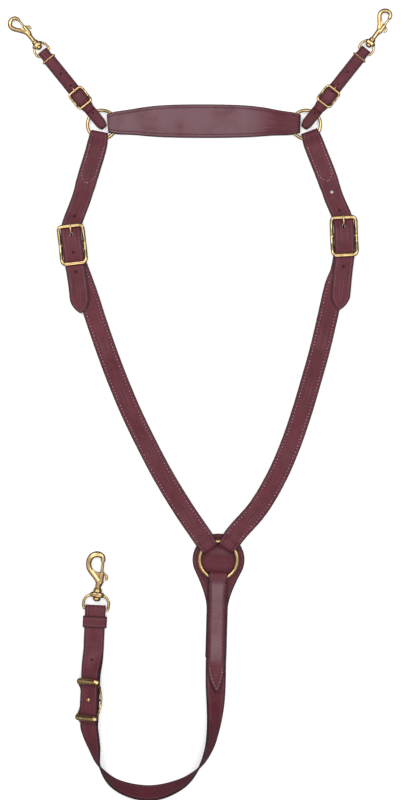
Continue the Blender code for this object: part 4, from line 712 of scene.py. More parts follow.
def stitch_row(points, route=None, pitch=STITCH_PITCH):
    """A row of stitches through points (s, across, height), laid along a route."""
    edge = Route([Vector(p) for p in points], offset=Vector(), steps=4)
    count = max(1, round(edge.length / pitch))
    gap = edge.length / count
    row = stitch.copy()
    row.data = stitch.data.copy()
    bpy.context.scene.collection.objects.link(row)
    row.location.x = gap / 2
    apply_place(row)
    apply_modifier(
        row,
        "ARRAY",
        count=count,
        use_relative_offset=False,
        use_constant_offset=True,
        constant_offset_displace=(gap, 0, 0),
    )
    bend(row, edge)
    bpy.data.objects.remove(edge.curve, do_unlink=True)
    if route:
        bend(row, route)
    return row


def sew(rows, name, body, thread=None):
    """Join rows of stitches into one piece that rides on a body."""
    no_selection()
    for row in rows:
        row.select_set(True)
    bpy.context.view_layer.objects.active = rows[0]
    bpy.ops.object.join()
    rows[0].name = name
    if thread:
        rows[0].data.materials[0] = thread
    return dress(rows[0], body, None)


def edge_rows(
    route, start, end, top, halves, bottom=None, inset=STITCH_FROM_EDGE, pitch=STITCH_PITCH
):
    """Rows along both edges, on the top and, where given, on the bottom."""
    count = max(2, round(abs(end - start) / ROW_STEP))
    marks = [start + (end - start) * i / count for i in range(count + 1)]
    rows = []
    faces = [(top, STITCH_PROUD)]
    if bottom:
        faces.append((bottom, STITCH_SUNK))
    for side in (-1, 1):
        for heights, proud in faces:
            points = []
            for s in marks:
                points.append((s, side * (eased(halves, s) - inset), eased(heights, s) + proud))
            rows.append(stitch_row(points, route, pitch))
    return rows


# %% [markdown]
# ## The wither strap
#
# The broad strap lies over the withers. Its two ends fold round the corner rings and are
# stitched back on themselves, and a lining fills the middle, so that it is one thickness
# all along. It is widest in the middle and slightly crowned there.

# %% Wither strap
WITHER_SHIFT = 0.6 * MM
WITHER_FOLD_HALF = 12.0 * MM
WITHER_MIDDLE = [(-104.4, 349.3), (-71.9, 350.9), (0.6, 351.4), (71.0, 350.6), (104.0, 348.5)]
WITHER_EDGE = [
    # distance from the ring's centre, half width
    (10.0 * MM, 11.7 * MM),
    (14.0 * MM, 13.2 * MM),
    (20.0 * MM, 14.3 * MM),
    (37.5 * MM, 15.9 * MM),
    (55.0 * MM, 18.1 * MM),
    (72.5 * MM, 19.6 * MM),
    (100.0 * MM, 20.6 * MM),
]
WITHER_CROWN = 1.2 * MM
SURFACE_STEPS = 100
CORNER_HOLE = CORNER_RING_WIRE + CLEARANCE
CORNER_THROAT = CORNER_RING_RADIUS + CORNER_HOLE + THROAT
UNDER = LEATHER / 2
OVER = LAMINATE - LEATHER / 2


def ring_fold(radius, wire, half, leather=LEATHER):
    """Where a fold round a ring's wire has its tip and its full height."""
    near = sqrt((radius - wire - CLEARANCE) ** 2 - half**2)
    return near - leather, sqrt(radius**2 - half**2)


raised = Vector((0, WITHER_SHIFT, 0))
wither_ends = (CORNER_RING_LEFT + raised, CORNER_RING_RIGHT + raised)
wither_route = Route([wither_ends[0], *on_plan(WITHER_MIDDLE), wither_ends[1]])
reach = wither_route.length
tip, full = ring_fold(CORNER_RING_RADIUS, CORNER_RING_WIRE, WITHER_FOLD_HALF + WITHER_SHIFT)
outer = CORNER_HOLE + LEATHER
knots = [Vector(knot) for knot in WITHER_EDGE]
knots += [Vector((reach - s, half)) for s, half in reversed(WITHER_EDGE)]
wither_halves = [(knot.x, knot.y) for knot in spline(knots, 6)]
ring_top = CORNER_RING_Z + outer - LEATHER / 2
half_top = [(full, ring_top), (CORNER_THROAT + SKIVE, OVER)]
wither_over = [*half_top, *[(reach - s, z) for s, z in reversed(half_top)]]
turn = CORNER_THROAT + TURN_BACK
path = layer([(0, UNDER)], wither_halves, turn, full)
path += fold(0, 1, tip, full, CORNER_RING_Z, outer, LEATHER, wither_halves)
path += layer(wither_over, wither_halves, full, reach - full)
path += fold(reach, -1, tip, full, CORNER_RING_Z, outer, LEATHER, wither_halves, False)
path += layer([(0, UNDER)], wither_halves, reach - full, reach - turn)
wither = strip("wither_leather", path, LEATHER, wither_sheen_finish)


def wither_crown(s, across):
    """Rise of the wither strap's top at a place."""
    rise = [(CORNER_THROAT, 0.0), (CORNER_THROAT + 14 * MM, WITHER_CROWN)]
    crown = eased(rise, min(s, reach - s))
    return crown * max(0.0, 1 - (across / eased(wither_halves, s)) ** 2)


for vertex in wither.data.vertices:
    if vertex.co.z > LAMINATE / 2:
        vertex.co.z += wither_crown(vertex.co.x, vertex.co.y)
bend(wither, wither_route)
dress(wither, "harness", "wither_strap")
inner = turn + CLEARANCE
path = layer([(0, UNDER)], wither_halves, inner, reach - inner)
lining = strip("wither_lining_leather", path, LINING, lining_leather)
bend(lining, wither_route)
dress(lining, "harness", "wither_lining")

# %% The wither strap's stitches
first = full + 1.5 * MM
surface = []
for step in range(SURFACE_STEPS + 1):
    s = first + (reach - 2 * first) * step / SURFACE_STEPS
    across = eased(wither_halves, s) - STITCH_FROM_EDGE
    surface.append((s, eased(wither_over, s) + UNDER + wither_crown(s, across)))
rows = edge_rows(wither_route, first, reach - first, surface, wither_halves, [(0, 0.0)])
sew(rows, "wither_stitches", "harness", dark_thread)

# %% [markdown]
# ## The billets
#
# Each billet is a punched strap. It folds round the corner ring, with its turned-back end
# cut to a V underneath, and runs down under the buckle's upper end bar, over its middle
# bar and under its lower end, to a rounded tip that lies loose on the shoulder strap.

# %% Billets
BILLET_FOLD_HALF = 10.5 * MM
BILLET_SHIFT = 0.7 * MM
BILLET_HALF = 12.1 * MM
BILLET_DRIFT = [
    # share of the buckle's reach, how far the billet lies nearer the collar's middle
    (-1.1, 1.1 * MM),
    (-0.63, 0.0),
    (0.0, 0.0),
    (0.5, 0.0),
    (1.1, 0.0),
]
BILLET_TURN_BACK = 42.0 * MM
BILLET_LOW = 1.6 * MM
BILLET_AT_UPPER_END = 6.4 * MM
BILLET_OVER_BAR = 10.5 * MM
BILLET_ON_STRAP = 6.9 * MM
BUCKLE_REACH = 20.0 * MM
TONGUE_HOLE = 12.6 * MM
# A slot's length and width
TONGUE_SLOT = (5.4 * MM, 3.4 * MM)
HOLE_RADIUS = 1.8 * MM
HOLE_DEPTH = 1.6 * MM
TIP_LENGTH = 18.0 * MM
BILLET_END_HALF = 1.2 * MM

# %% [markdown]
# A billet is worked out from its ring, its buckle and the points between and below them.

# %% One billet


def tip_half(distance, half=STRAP_HALF, length=TIP_LENGTH):
    """Half width of a rounded point at a distance from its end."""
    share = min(max(1 - distance / length, 0.0), 0.995)
    return half * (1 - share**1.6) ** 0.75


def tip_layer(height, half, start, end, length=TIP_LENGTH, steps=12):
    """Side view points of a rounded tip that ends at a length."""
    way = 1 if end > start else -1
    points = []
    for step in range(1, steps + 1):
        gap = length * (1 - sin(pi / 2 * step / steps))
        points.append((end - way * gap, height, tip_half(gap, half, length)))
    return points


def buckle_axis(lean):
    """Direction of travel down a shoulder buckle."""
    return Vector((sin(lean), -cos(lean), 0))


def billet(side, ring_centre, bar, lean, upper, tail, holes, open_holes=()):
    """One billet with its stitches; an open hole goes right through."""
    axis = buckle_axis(lean)
    outward = Vector((1 if ring_centre.x > 0 else -1, 0, 0))
    points = [ring_centre + outward * BILLET_SHIFT, *on_plan(upper)]
    points += [bar + axis * BUCKLE_REACH * share - outward * drift for share, drift in BILLET_DRIFT]
    route = Route(points + on_plan(tail))
    at_bar = route.nearest(bar)
    tip, full = ring_fold(CORNER_RING_RADIUS, CORNER_RING_WIRE, BILLET_FOLD_HALF + BILLET_SHIFT)
    turn = CORNER_THROAT + BILLET_TURN_BACK
    halves = [
        (tip + 3 * MM, BILLET_FOLD_HALF),
        (full + 3 * MM, BILLET_FOLD_HALF + 1.4 * MM),
        (CORNER_THROAT + 2 * MM, STRAP_HALF),
        (turn + 10 * MM, STRAP_HALF),
        (turn + 20 * MM, BILLET_HALF),
        (at_bar - BUCKLE_REACH - 5 * MM, BILLET_HALF),
        (at_bar - BUCKLE_REACH + 2 * MM, STRAP_HALF),
        (at_bar + BUCKLE_REACH, STRAP_HALF),
        (at_bar + BUCKLE_REACH + 8 * MM, BILLET_HALF),
    ]
    cut_end = [*halves[:3], (turn, STRAP_HALF), (turn + 15 * MM, BILLET_END_HALF)]
    over = [
        (full, ring_top),
        (CORNER_THROAT + SKIVE, OVER),
        (turn + 16 * MM, OVER),
        (turn + 30 * MM, BILLET_LOW),
        (at_bar - BUCKLE_REACH - 22 * MM, BILLET_LOW),
        (at_bar - BUCKLE_REACH - 2 * MM, BILLET_AT_UPPER_END),
        (at_bar - 6 * MM, BILLET_OVER_BAR),
        (at_bar + 6 * MM, BILLET_OVER_BAR),
        (at_bar + BUCKLE_REACH - 2 * MM, BILLET_ON_STRAP),
    ]
    path = [(turn + 15 * MM, UNDER, BILLET_END_HALF), (turn + 0.1 * MM, UNDER, STRAP_HALF)]
    path += layer([(0, UNDER)], cut_end, turn - 1 * MM, full)
    path += fold(0, 1, tip, full, CORNER_RING_Z, outer, LEATHER, halves)
    tip_start = route.length - TIP_LENGTH
    path += layer(over, halves, full, tip_start, FINE_STEP)
    path += tip_layer(BILLET_ON_STRAP, BILLET_HALF, tip_start, route.length)
    piece = strip("billet_leather_" + side, path, LEATHER, plain_leather)
    marks = []
    for p in on_plan(holes):
        s = route.nearest(p)
        marks.append((s, HOLE_RADIUS, eased(over, s) + UNDER - HOLE_DEPTH, ABOVE))
    marks += [(route.nearest(p), HOLE_RADIUS, BELOW, ABOVE) for p in on_plan(open_holes)]
    punch(piece, marks, [(at_bar - TONGUE_HOLE + 0.1 * MM, *TONGUE_SLOT, BELOW, ABOVE)])
    bend(piece, route)
    dress(piece, "harness", "billet_" + side)
    first = CORNER_THROAT + 2 * MM
    rows = edge_rows(route, first, turn, [(0, LAMINATE)], halves, [(0, 0.0)])
    for height in (LAMINATE + STITCH_PROUD, STITCH_SUNK):
        for side_of in (-1, 1):
            flank = side_of * (STRAP_HALF - STITCH_FROM_EDGE)
            points = [(turn, flank, height)]
            points += [(turn + 5 * MM, flank * 0.6, height), (turn + 10 * MM, 0, height)]
            rows.append(stitch_row(points, route))
    sew(rows, "billet_stitches_" + side, "harness")


# %% [markdown]
# ## The shoulder straps
#
# The lined shoulder straps start round the buckle's middle bar, sweep down the shoulders
# and fold round the chest ring. Two rows of stitches run their whole length.

# %% Shoulder straps
BUCKLE_BAR = 1.7 * MM
BUCKLE_BAR_Z = 4.4 * MM
CHEST_FOLD_HALF = 10.4 * MM
CHEST_HOLE = CHEST_RING_WIRE + CLEARANCE
CHEST_THROAT = CHEST_RING_RADIUS + CHEST_HOLE + THROAT
OVER_SHIELD = 34.5 * MM
SHIELD_RISE = 14 * MM
BAR_THROAT = BUCKLE_BAR + CLEARANCE + THROAT
BAR_SLOT_TOP = 4.6 * MM
BAR_SLOT_WIDTH = 3.0 * MM
FINE_AT_BAR = 20 * MM
FINE_AT_RING = 60 * MM
FINE_GAP = 3 * MM
chest_tip, chest_full = ring_fold(CHEST_RING_RADIUS, CHEST_RING_WIRE, CHEST_FOLD_HALF)
chest_outer = CHEST_HOLE + LEATHER


def shoulder(side, bar, lean, points):
    """One lined shoulder strap with its lining and stitches."""
    axis = buckle_axis(lean)
    route = Route([bar, bar + axis * 14 * MM, *on_plan(points), CHEST_RING])
    end = route.length
    bar_outer = BUCKLE_BAR + CLEARANCE + LEATHER
    halves = [
        (BAR_THROAT, STRAP_HALF),
        (end - CHEST_THROAT - 3 * MM, STRAP_HALF),
        (end - chest_full - 4 * MM, CHEST_FOLD_HALF + 1.3 * MM),
        (end - chest_tip - 3 * MM, CHEST_FOLD_HALF),
    ]
    over = [
        (0, BUCKLE_BAR_Z + bar_outer - UNDER),
        (BAR_THROAT + SKIVE, OVER),
        (end - OVER_SHIELD - SHIELD_RISE, OVER),
        (end - OVER_SHIELD - SKIVE, SHIELD_TOP + OVER),
        (end - chest_full, CHEST_RING_Z + chest_outer - UNDER),
    ]
    under = [(end - OVER_SHIELD - SHIELD_RISE, UNDER), (end - OVER_SHIELD, SHIELD_TOP + UNDER)]
    first = BAR_THROAT + TURN_BACK
    last = end - OVER_SHIELD - TURN_BACK
    path = layer(under, halves, first, 0.0)
    path += fold(0, 1, -bar_outer, 0.0, BUCKLE_BAR_Z, bar_outer, LEATHER, halves)
    path += layer(over, halves, 0.0, FINE_AT_BAR, FINE_STEP)
    path += layer(over, halves, FINE_AT_BAR + FINE_GAP, end - FINE_AT_RING)
    path += layer(over, halves, end - FINE_AT_RING + FINE_GAP, end - chest_full, FINE_STEP)
    path += fold(end, -1, chest_tip, chest_full, CHEST_RING_Z, chest_outer, LEATHER, halves, False)
    path += layer(under, halves, end - chest_full, last, FINE_STEP)
    piece = strip("shoulder_leather_" + side, path, LEATHER, stitched_leather)
    low = -BUCKLE_BAR_Z - 1 * MM
    middle = (low + BAR_SLOT_TOP) / 2
    punch(piece, (), [(middle, BAR_SLOT_TOP - low, BAR_SLOT_WIDTH, BELOW, ABOVE)])
    bend(piece, route)
    dress(piece, "harness", "shoulder_strap_" + side)
    path = layer([(0, UNDER)], halves, first + SKIVE + CLEARANCE, last - SKIVE - CLEARANCE)
    piece = strip("shoulder_lining_leather_" + side, path, LINING, lining_leather)
    bend(piece, route)
    dress(piece, "harness", "shoulder_lining_" + side)
    top = [(s, z + UNDER) for s, z in over]
    bottom = [(s, z - UNDER) for s, z in under]
    rows = edge_rows(route, BAR_THROAT + 4 * MM, end - CHEST_THROAT - 2 * MM, top, halves, bottom)
    sew(rows, "shoulder_stitches_" + side, "harness")


# %% [markdown]
# ## The tugs
#
# A tug is a narrow double strap. One loop holds the snap's eye, the other the corner ring,
# and a small buckle and a wire keeper sit on it.

# %% Tugs
TUG_HALF = 7.8 * MM
TUG_WIDE_HALF = 8.3 * MM
TUG_FOLD_HALF = 6.7 * MM
TUG_LAMINATE = 4.4 * MM
TUG_EYE_WIRE = 1.5 * MM
TUG_EYE_Z = 4.3 * MM
TUG_BUCKLE_AT = 72.0 * MM
TUG_BUCKLE_REACH = 11.1 * MM
TUG_TONGUE_HOLE = 8.3 * MM
TUG_LIFT = 1.8 * MM
TUG_KEEPER_END = 34.6 * MM
TUG_OVER_BAR = 8.2 * MM
TUG_SEAM = 45.0 * MM
TUG_STITCH_PITCH = 3.2 * MM
TUG_HOLE_RADIUS = 1.5 * MM
# The slot's length, width, low and high side
TUG_SLOT = (3.6 * MM, 2.4 * MM, 5.2 * MM, ABOVE)
TUG_FINE_STEP = 1.6 * MM
TUG_LOOP_REACH = 3.4 * MM
TUG_LOOP_SHAPE = [
    # beyond the ring's centre, half width of the loop's pointed end
    (-3.0 * MM, 6.7 * MM),
    (0.0, 6.2 * MM),
    (3.0 * MM, 4.9 * MM),
    (5.6 * MM, 2.6 * MM),
]

# %% One tug


def tug(side, ring_centre, snap, snap_heading, holes):
    """One tug with its stitches."""
    line = (ring_centre - snap).normalized()
    angle = atan2(line.y, line.x)
    slack = TUG_FOLD_HALF * abs(sin(snap_heading - angle - pi) / cos(snap_heading - angle - pi))
    beyond_ring = ring_centre + line * 3 * TUG_LOOP_REACH
    route = Route([snap, (snap + ring_centre) / 2, ring_centre, beyond_ring])
    end = (ring_centre - snap).length
    body_half = TUG_LEATHER / 2
    eye_outer = TUG_EYE_WIRE + CLEARANCE + TUG_LEATHER + 0.1 * MM
    throat = TUG_EYE_WIRE + CLEARANCE + slack + THROAT
    ring_throat = end - CORNER_THROAT
    ring_full = end - CORNER_RING_RADIUS - CORNER_RING_WIRE / 2
    ring_outer = CORNER_HOLE + TUG_LEATHER + 0.1 * MM
    before = TUG_BUCKLE_AT - TUG_BUCKLE_REACH
    after = TUG_BUCKLE_AT + TUG_BUCKLE_REACH
    under_wire = TUG_OVER_BAR - 1.4 * MM - body_half
    over_wire = TUG_OVER_BAR + body_half + 0.05 * MM
    flat = TUG_LAMINATE - body_half
    over = [
        (0, TUG_EYE_Z + eye_outer - body_half),
        (throat, TUG_LIFT + flat),
        (TUG_KEEPER_END, TUG_LIFT + flat),
        (before - 6 * MM, flat),
        (before, under_wire),
        (before + 5.5 * MM, over_wire),
        (TUG_BUCKLE_AT + 3 * MM, over_wire),
        (after - 0.5 * MM, under_wire),
        (ring_throat, flat),
        (ring_full, CORNER_RING_Z + ring_outer - body_half),
    ]
    under = [
        (0, TUG_EYE_Z - eye_outer + body_half),
        (throat, TUG_LIFT + body_half),
        (TUG_KEEPER_END, TUG_LIFT + body_half),
        (before - 6 * MM, body_half),
        (ring_throat, body_half),
        (ring_full, CORNER_RING_Z - ring_outer + body_half),
    ]
    halves = [
        (throat, TUG_FOLD_HALF),
        (throat + 3 * MM, TUG_HALF),
        (before - 1 * MM, TUG_HALF),
        (before + 2 * MM, TUG_WIDE_HALF),
        (after - 2 * MM, TUG_WIDE_HALF),
        (after + 1 * MM, TUG_HALF),
        (ring_throat - 8 * MM, TUG_HALF),
        (ring_throat, TUG_FOLD_HALF),
    ]
    halves += [(end + beyond, half) for beyond, half in TUG_LOOP_SHAPE]
    loop_full = CORNER_HOLE - TUG_LOOP_REACH
    loop_tip = -TUG_LOOP_REACH - TUG_LEATHER
    path = layer(under, halves, TUG_SEAM, 0.0, FINE_STEP)
    eye_tip = -TUG_EYE_WIRE - CLEARANCE - slack - TUG_LEATHER
    path += fold(0, 1, eye_tip, 0.0, TUG_EYE_Z, eye_outer, TUG_LEATHER, halves)
    path += layer(over, halves, 0.0, end - loop_full, TUG_FINE_STEP)
    loop = (loop_tip, loop_full, CORNER_RING_Z, ring_outer)
    path += fold(end, -1, *loop, TUG_LEATHER, halves, False)
    path += layer(under, halves, end - loop_full, TUG_SEAM + 0.2 * MM, FINE_STEP)
    piece = strip("tug_leather_" + side, path, TUG_LEATHER, tug_leather)
    marks = []
    for p in on_plan(holes):
        s = (p - snap).dot(line)
        marks.append((s, TUG_HOLE_RADIUS, eased(over, s) + body_half - HOLE_DEPTH, ABOVE))
    punch(piece, marks, [(TUG_BUCKLE_AT - TUG_TONGUE_HOLE, *TUG_SLOT)])
    bend(piece, route)
    dress(piece, "tug_" + side, "tug_strap_" + side)
    rows = []
    top = [(s, z + body_half) for s, z in over]
    for start, stop in ((throat + 6 * MM, before - 3 * MM), (after + 3 * MM, ring_throat - 1 * MM)):
        rows += edge_rows(route, start, stop, top, halves, inset=TUG_STITCH, pitch=TUG_STITCH_PITCH)
    sew(rows, "tug_stitches_" + side, "tug_" + side, dark_thread)


# %% Both sides, as they lie on the table, in millimetres
BUCKLE_LEFT = Vector((-163.6, 197.5, 0)) * MM
BUCKLE_RIGHT = Vector((175.4, 208.1, 0)) * MM
BUCKLE_LEFT_LEAN = radians(6.5)
BUCKLE_RIGHT_LEAN = radians(2.5)
TUG_LEFT_SNAP = Vector((-199.0, 436.1, 0)) * MM
TUG_RIGHT_SNAP = Vector((200.6, 438.3, 0)) * MM
LEFT_HEADING = radians(129.7)
RIGHT_HEADING = radians(54.8)
TIE_HEADING = radians(83.2)

billet(
    "left",
    CORNER_RING_LEFT,
    BUCKLE_LEFT,
    BUCKLE_LEFT_LEAN,
    [(-134.0, 317.0), (-143.0, 287.0), (-151.5, 258.0)],
    [(-157.0, 150.0), (-152.8, 111.0)],
    [(-159.4, 231.9), (-158.8, 187.3), (-158.5, 163.0)],
)
billet(
    "right",
    CORNER_RING_RIGHT,
    BUCKLE_RIGHT,
    BUCKLE_RIGHT_LEAN,
    [(140.0, 316.9), (151.9, 286.9), (162.5, 256.9)],
    [(173.5, 160.0), (169.5, 115.5)],
    [(169.4, 239.4), (175.6, 169.4)],
    [(161.0, 263.1)],
)
left_sweep = [(-150.0, 150.0), (-141.9, 127.0), (-135.6, 106.9), (-121.9, 66.9), (-106.9, 26.9)]
left_sweep += [(-90.0, -13.1), (-70.6, -53.1), (-49.4, -93.1), (-25.0, -133.1), (-2.5, -166.0)]
shoulder("left", BUCKLE_LEFT, BUCKLE_LEFT_LEAN, left_sweep)
right_sweep = [(171.0, 163.0), (164.4, 146.9), (155.0, 106.9), (145.6, 66.9), (134.4, 26.9)]
right_sweep += [(122.5, -13.1), (108.7, -53.1), (91.3, -93.1), (67.5, -133.1), (38.0, -167.0)]
shoulder("right", BUCKLE_RIGHT, BUCKLE_RIGHT_LEAN, right_sweep)
left_holes = [(-176.8, 411.0), (-164.0, 397.0), (-137.1, 361.3)]
tug("left", CORNER_RING_LEFT, TUG_LEFT_SNAP, LEFT_HEADING, left_holes)
right_holes = [(178.6, 413.3), (165.6, 399.5), (135.9, 363.0)]
tug("right", CORNER_RING_RIGHT, TUG_RIGHT_SNAP, RIGHT_HEADING, right_holes)

# %% [markdown]
# ## The tie strap
#
# The tie strap hangs from the chest ring. Its front end is turned through the ring and
# stitched down to a point. The long end turns over on its edge in a loop, comes back up
# through the bowed buckle and the keeper, and folds round the girth snap's eye.

# %% Tie strap
TIE_SNAP = Vector((-134.9, -258.4, 0)) * MM
TIE_LINE = Vector((cos(radians(-92.7)), sin(radians(-92.7)), 0))
TIE_SNAP_Z = 5.4 * MM
TIE_EYE_WIRE = 1.9 * MM
TIE_SLACK = 1.2 * MM
TIE_FOLD_HALF = 11.7 * MM
TIE_BUCKLE_AT = 113.5 * MM
TIE_BUCKLE_REACH = 22.8 * MM
TIE_BUCKLE_TILT = 31.0
TIE_BUCKLE_WIRE = 1.2 * MM
TIE_SIDE_PLAY = 0.4 * MM
TIE_LEVEL = 52.0 * MM
TIE_FRONT = 167.0 * MM
TIE_POINT = 30.0 * MM
TIE_FRONT_HALF = 10.8 * MM
FRONT_STITCH_POINT = [
    # distance from the stitches' point, distance from the middle
    (28.0 * MM, 7.8 * MM),
    (20.0 * MM, 7.3 * MM),
    (13.4 * MM, 5.6 * MM),
    (6.7 * MM, 2.9 * MM),
    (0.0, 0.0),
]
TIE_DOUBLE = 5.6 * MM
SHIELD_TAIL_END = 124.0 * MM
SINGLE = 2.8 * MM
TIE_GAP = 0.2 * MM
TIE_FINE_STEP = 3 * MM
# The hole's radius, low and high side
STUD_HOLE = (1.8 * MM, -2 * MM, 9 * MM)
TIE_HOLE = Vector((-137.5, -322.8, 0)) * MM
TIE_HOLE_TOP = 12 * MM
KEEPER_LIFT = 2.3 * MM
KEEPER_AT = 15.4 * MM
KEEPER_LENGTH = 14.0 * MM
KEEPER_TRAVEL = 17.0 * MM

# %% The tie strap's route


def tie_route():
    """The tie strap's underside: flat, then on its edge round the loop, then up to the snap."""
    loop = [
        # x and y in millimetres, tilt in degrees: the inner edge rises with the tilt
        (17.0, -250.0, 0),
        (15.9, -312.0, 0),
        (15.4, -330.0, 0),
        (14.9, -348.0, 12),
        (13.9, -380.0, 36),
        (10.8, -408.0, 55),
        (5.5, -431.0, 68),
        (-6.0, -453.5, 84),
        (-27.0, -473.0, 108),
        (-66.9, -485.6, 127),
        (-108.5, -474.5, 110),
        (-128.0, -453.0, 84),
        (-134.5, -431.0, 56),
    ]
    places = [(CHEST_RING, 0, 0.0)]
    places += [(Vector((x, y, 0)) * MM, tilt, 0.0) for x, y, tilt in loop]
    buckle = TIE_SNAP + TIE_LINE * TIE_BUCKLE_AT
    lean = radians(TIE_BUCKLE_TILT)
    bar_z = (STRAP_HALF + TIE_SIDE_PLAY + TIE_BUCKLE_WIRE) * sin(lean) + TIE_BUCKLE_WIRE
    lift = bar_z + (TIE_BUCKLE_WIRE + CLEARANCE) * cos(lean) - STRAP_HALF * sin(lean)
    for share in (1.4, 1.18, 0.5, 0.0, -0.5, -1.18, -1.4):
        places.append((buckle + TIE_LINE * TIE_BUCKLE_REACH * share, TIE_BUCKLE_TILT, lift))
    for share in (1.0, 0.75, 0.4, 0.0):
        places.append((TIE_SNAP + TIE_LINE * TIE_LEVEL * share, 0, 0.0))
    points = []
    for place, tilt, lift in places:
        angle = radians(tilt)
        rise = STRAP_HALF * sin(angle) + SINGLE * max(0.0, -cos(angle)) + lift
        points.append(place + Vector((0, 0, rise)))
    return Route(points, [-tilt for _, tilt, _ in places])


# %% [markdown]
# Its side view has three layers: the short front end, the long end, and above that the end
# that is turned back at the snap.

# %% The tie strap's layers
tie_line = tie_route()
end = tie_line.length
tip, full = ring_fold(CHEST_RING_RADIUS, CHEST_RING_WIRE, TIE_FOLD_HALF)
eye_outer = TIE_EYE_WIRE + CLEARANCE + LEATHER
snap_throat = end - (TIE_EYE_WIRE + CLEARANCE + TIE_SLACK + THROAT)
keeper_end = end - (KEEPER_AT + KEEPER_LENGTH / 2 + KEEPER_TRAVEL + 2 * MM)
turned_end = end - (TIE_BUCKLE_AT + TIE_BUCKLE_REACH + 7 * MM)
level = SHIELD_TAIL_END + 20 * MM
tie_halves = [
    (tip + 3 * MM, TIE_FOLD_HALF),
    (CHEST_THROAT, TIE_FOLD_HALF + 0.5 * MM),
    (CHEST_THROAT + 8 * MM, STRAP_HALF),
]
front_halves = [
    (full, TIE_FOLD_HALF),
    (CHEST_THROAT, TIE_FOLD_HALF - 0.4 * MM),
    (CHEST_THROAT + 10 * MM, TIE_FRONT_HALF),
]
tie_over = [
    (full, CHEST_RING_Z + chest_outer - UNDER),
    (CHEST_THROAT + SKIVE, SHIELD_TOP + TIE_DOUBLE - UNDER),
    (SHIELD_TAIL_END + 2 * MM, SHIELD_TOP + TIE_DOUBLE - UNDER),
    (level, TIE_DOUBLE - UNDER - TIE_GAP),
]
tie_under = [
    (SHIELD_TAIL_END + 2 * MM, SHIELD_TOP + UNDER),
    (level, UNDER + TIE_GAP),
    (keeper_end - 12 * MM, UNDER + TIE_GAP),
    (keeper_end, KEEPER_LIFT + UNDER),
    (snap_throat, KEEPER_LIFT + UNDER),
    (end, TIE_SNAP_Z - eye_outer + UNDER),
]
tie_back = [
    (keeper_end - 12 * MM, TIE_DOUBLE - UNDER),
    (keeper_end, KEEPER_LIFT + TIE_DOUBLE - UNDER),
    (snap_throat, KEEPER_LIFT + TIE_DOUBLE - UNDER),
    (end, TIE_SNAP_Z + eye_outer - UNDER),
]
front_tip = []
for s, _, half in tip_layer(0, TIE_FRONT_HALF, TIE_FRONT - TIE_POINT, TIE_FRONT, TIE_POINT):
    front_tip.append((s, eased(tie_over, s), half))
path = front_tip[::-1]
path += layer(tie_over, front_halves, TIE_FRONT - TIE_POINT - 1 * MM, full, FINE_STEP)
path += fold(0, 1, tip, full, CHEST_RING_Z, chest_outer, LEATHER, tie_halves)[::-1]
path += layer(tie_under, tie_halves, full, end, TIE_FINE_STEP)
eye_tip = -TIE_EYE_WIRE - CLEARANCE - TIE_SLACK - LEATHER
path += fold(end, -1, eye_tip, 0.0, TIE_SNAP_Z, eye_outer, LEATHER, tie_halves)
path += layer(tie_back, tie_halves, end, turned_end, FINE_STEP)

# %% The tie strap, cut and stitched
tie = strip("tie_leather", path, LEATHER, tie_sheen_finish)
hole = tie_line.nearest(TIE_HOLE, end / 2)
over_back = eased(tie_under, hole) + UNDER + 0.1 * MM
stud_hole = (end - TIE_BUCKLE_AT, *STUD_HOLE)
punch(tie, [stud_hole, (hole, HOLE_RADIUS, over_back, TIE_HOLE_TOP)])
bend(tie, tie_line)
dress(tie, "tie", "tie_strap")
front_surface = [(s, z + UNDER) for s, z in tie_over]
stitches_end = TIE_FRONT - 4 * MM
start = CHEST_THROAT + 2 * MM
stop = stitches_end - FRONT_STITCH_POINT[0][0]
rows = edge_rows(tie_line, start, stop, front_surface, front_halves, inset=FRONT_STITCH)
sew(rows, "tie_stitches", "tie", dark_thread)
rows = []
for side in (-1, 1):
    points = []
    for gap, across in FRONT_STITCH_POINT:
        s = stitches_end - gap
        points.append((s, side * across, eased(front_surface, s) + STITCH_PROUD))
    rows.append(stitch_row(points, tie_line))
sew(rows, "tie_point_stitches", "tie")

# %% [markdown]
# ## The keeper of the tie strap
#
# The keeper is a leather band round both layers. A block of the inner size has its long
# edges rounded and its ends opened. Solidify then gives the band its thickness outwards.

# %% Keeper
KEEPER_WALL = 2.0 * MM
KEEPER_CORNER = 1.0 * MM
KEEPER_CUTS = 5


def edit_long_edges(piece, least):
    """In edit mode, select the edges that run along X for more than a length."""
    bpy.ops.mesh.select_all(action="DESELECT")
    bpy.ops.object.mode_set(mode="OBJECT")
    for edge in piece.data.edges:
        a, b = (piece.data.vertices[i].co for i in edge.vertices)
        edge.select = abs(a.x - b.x) > least
    bpy.ops.object.mode_set(mode="EDIT")
    bpy.ops.mesh.select_mode(type="EDGE")


inner_size = (KEEPER_LENGTH, 2 * STRAP_HALF + 2 * CLEARANCE, TIE_DOUBLE + 2 * CLEARANCE)
keeper_at = end - KEEPER_AT
no_selection()
centre_height = KEEPER_WALL + inner_size[2] / 2
bpy.ops.mesh.primitive_cube_add(size=1.0, location=(keeper_at, 0, centre_height))
keeper = bpy.context.active_object
keeper.name = "tie_keeper_leather"
keeper.scale = inner_size
apply_place(keeper)
bpy.ops.object.mode_set(mode="EDIT")
bpy.ops.mesh.select_mode(type="FACE")
bpy.ops.mesh.select_all(action="DESELECT")
bpy.ops.object.mode_set(mode="OBJECT")
for polygon in keeper.data.polygons:
    polygon.select = abs(polygon.normal.x) > 0.9
bpy.ops.object.mode_set(mode="EDIT")
bpy.ops.mesh.delete(type="ONLY_FACE")
edit_long_edges(keeper, KEEPER_LENGTH / 2)
bpy.ops.mesh.bevel(offset=KEEPER_CORNER, segments=4)
edit_long_edges(keeper, KEEPER_LENGTH / 2)
bpy.ops.mesh.subdivide(number_cuts=KEEPER_CUTS)
bpy.ops.object.mode_set(mode="OBJECT")
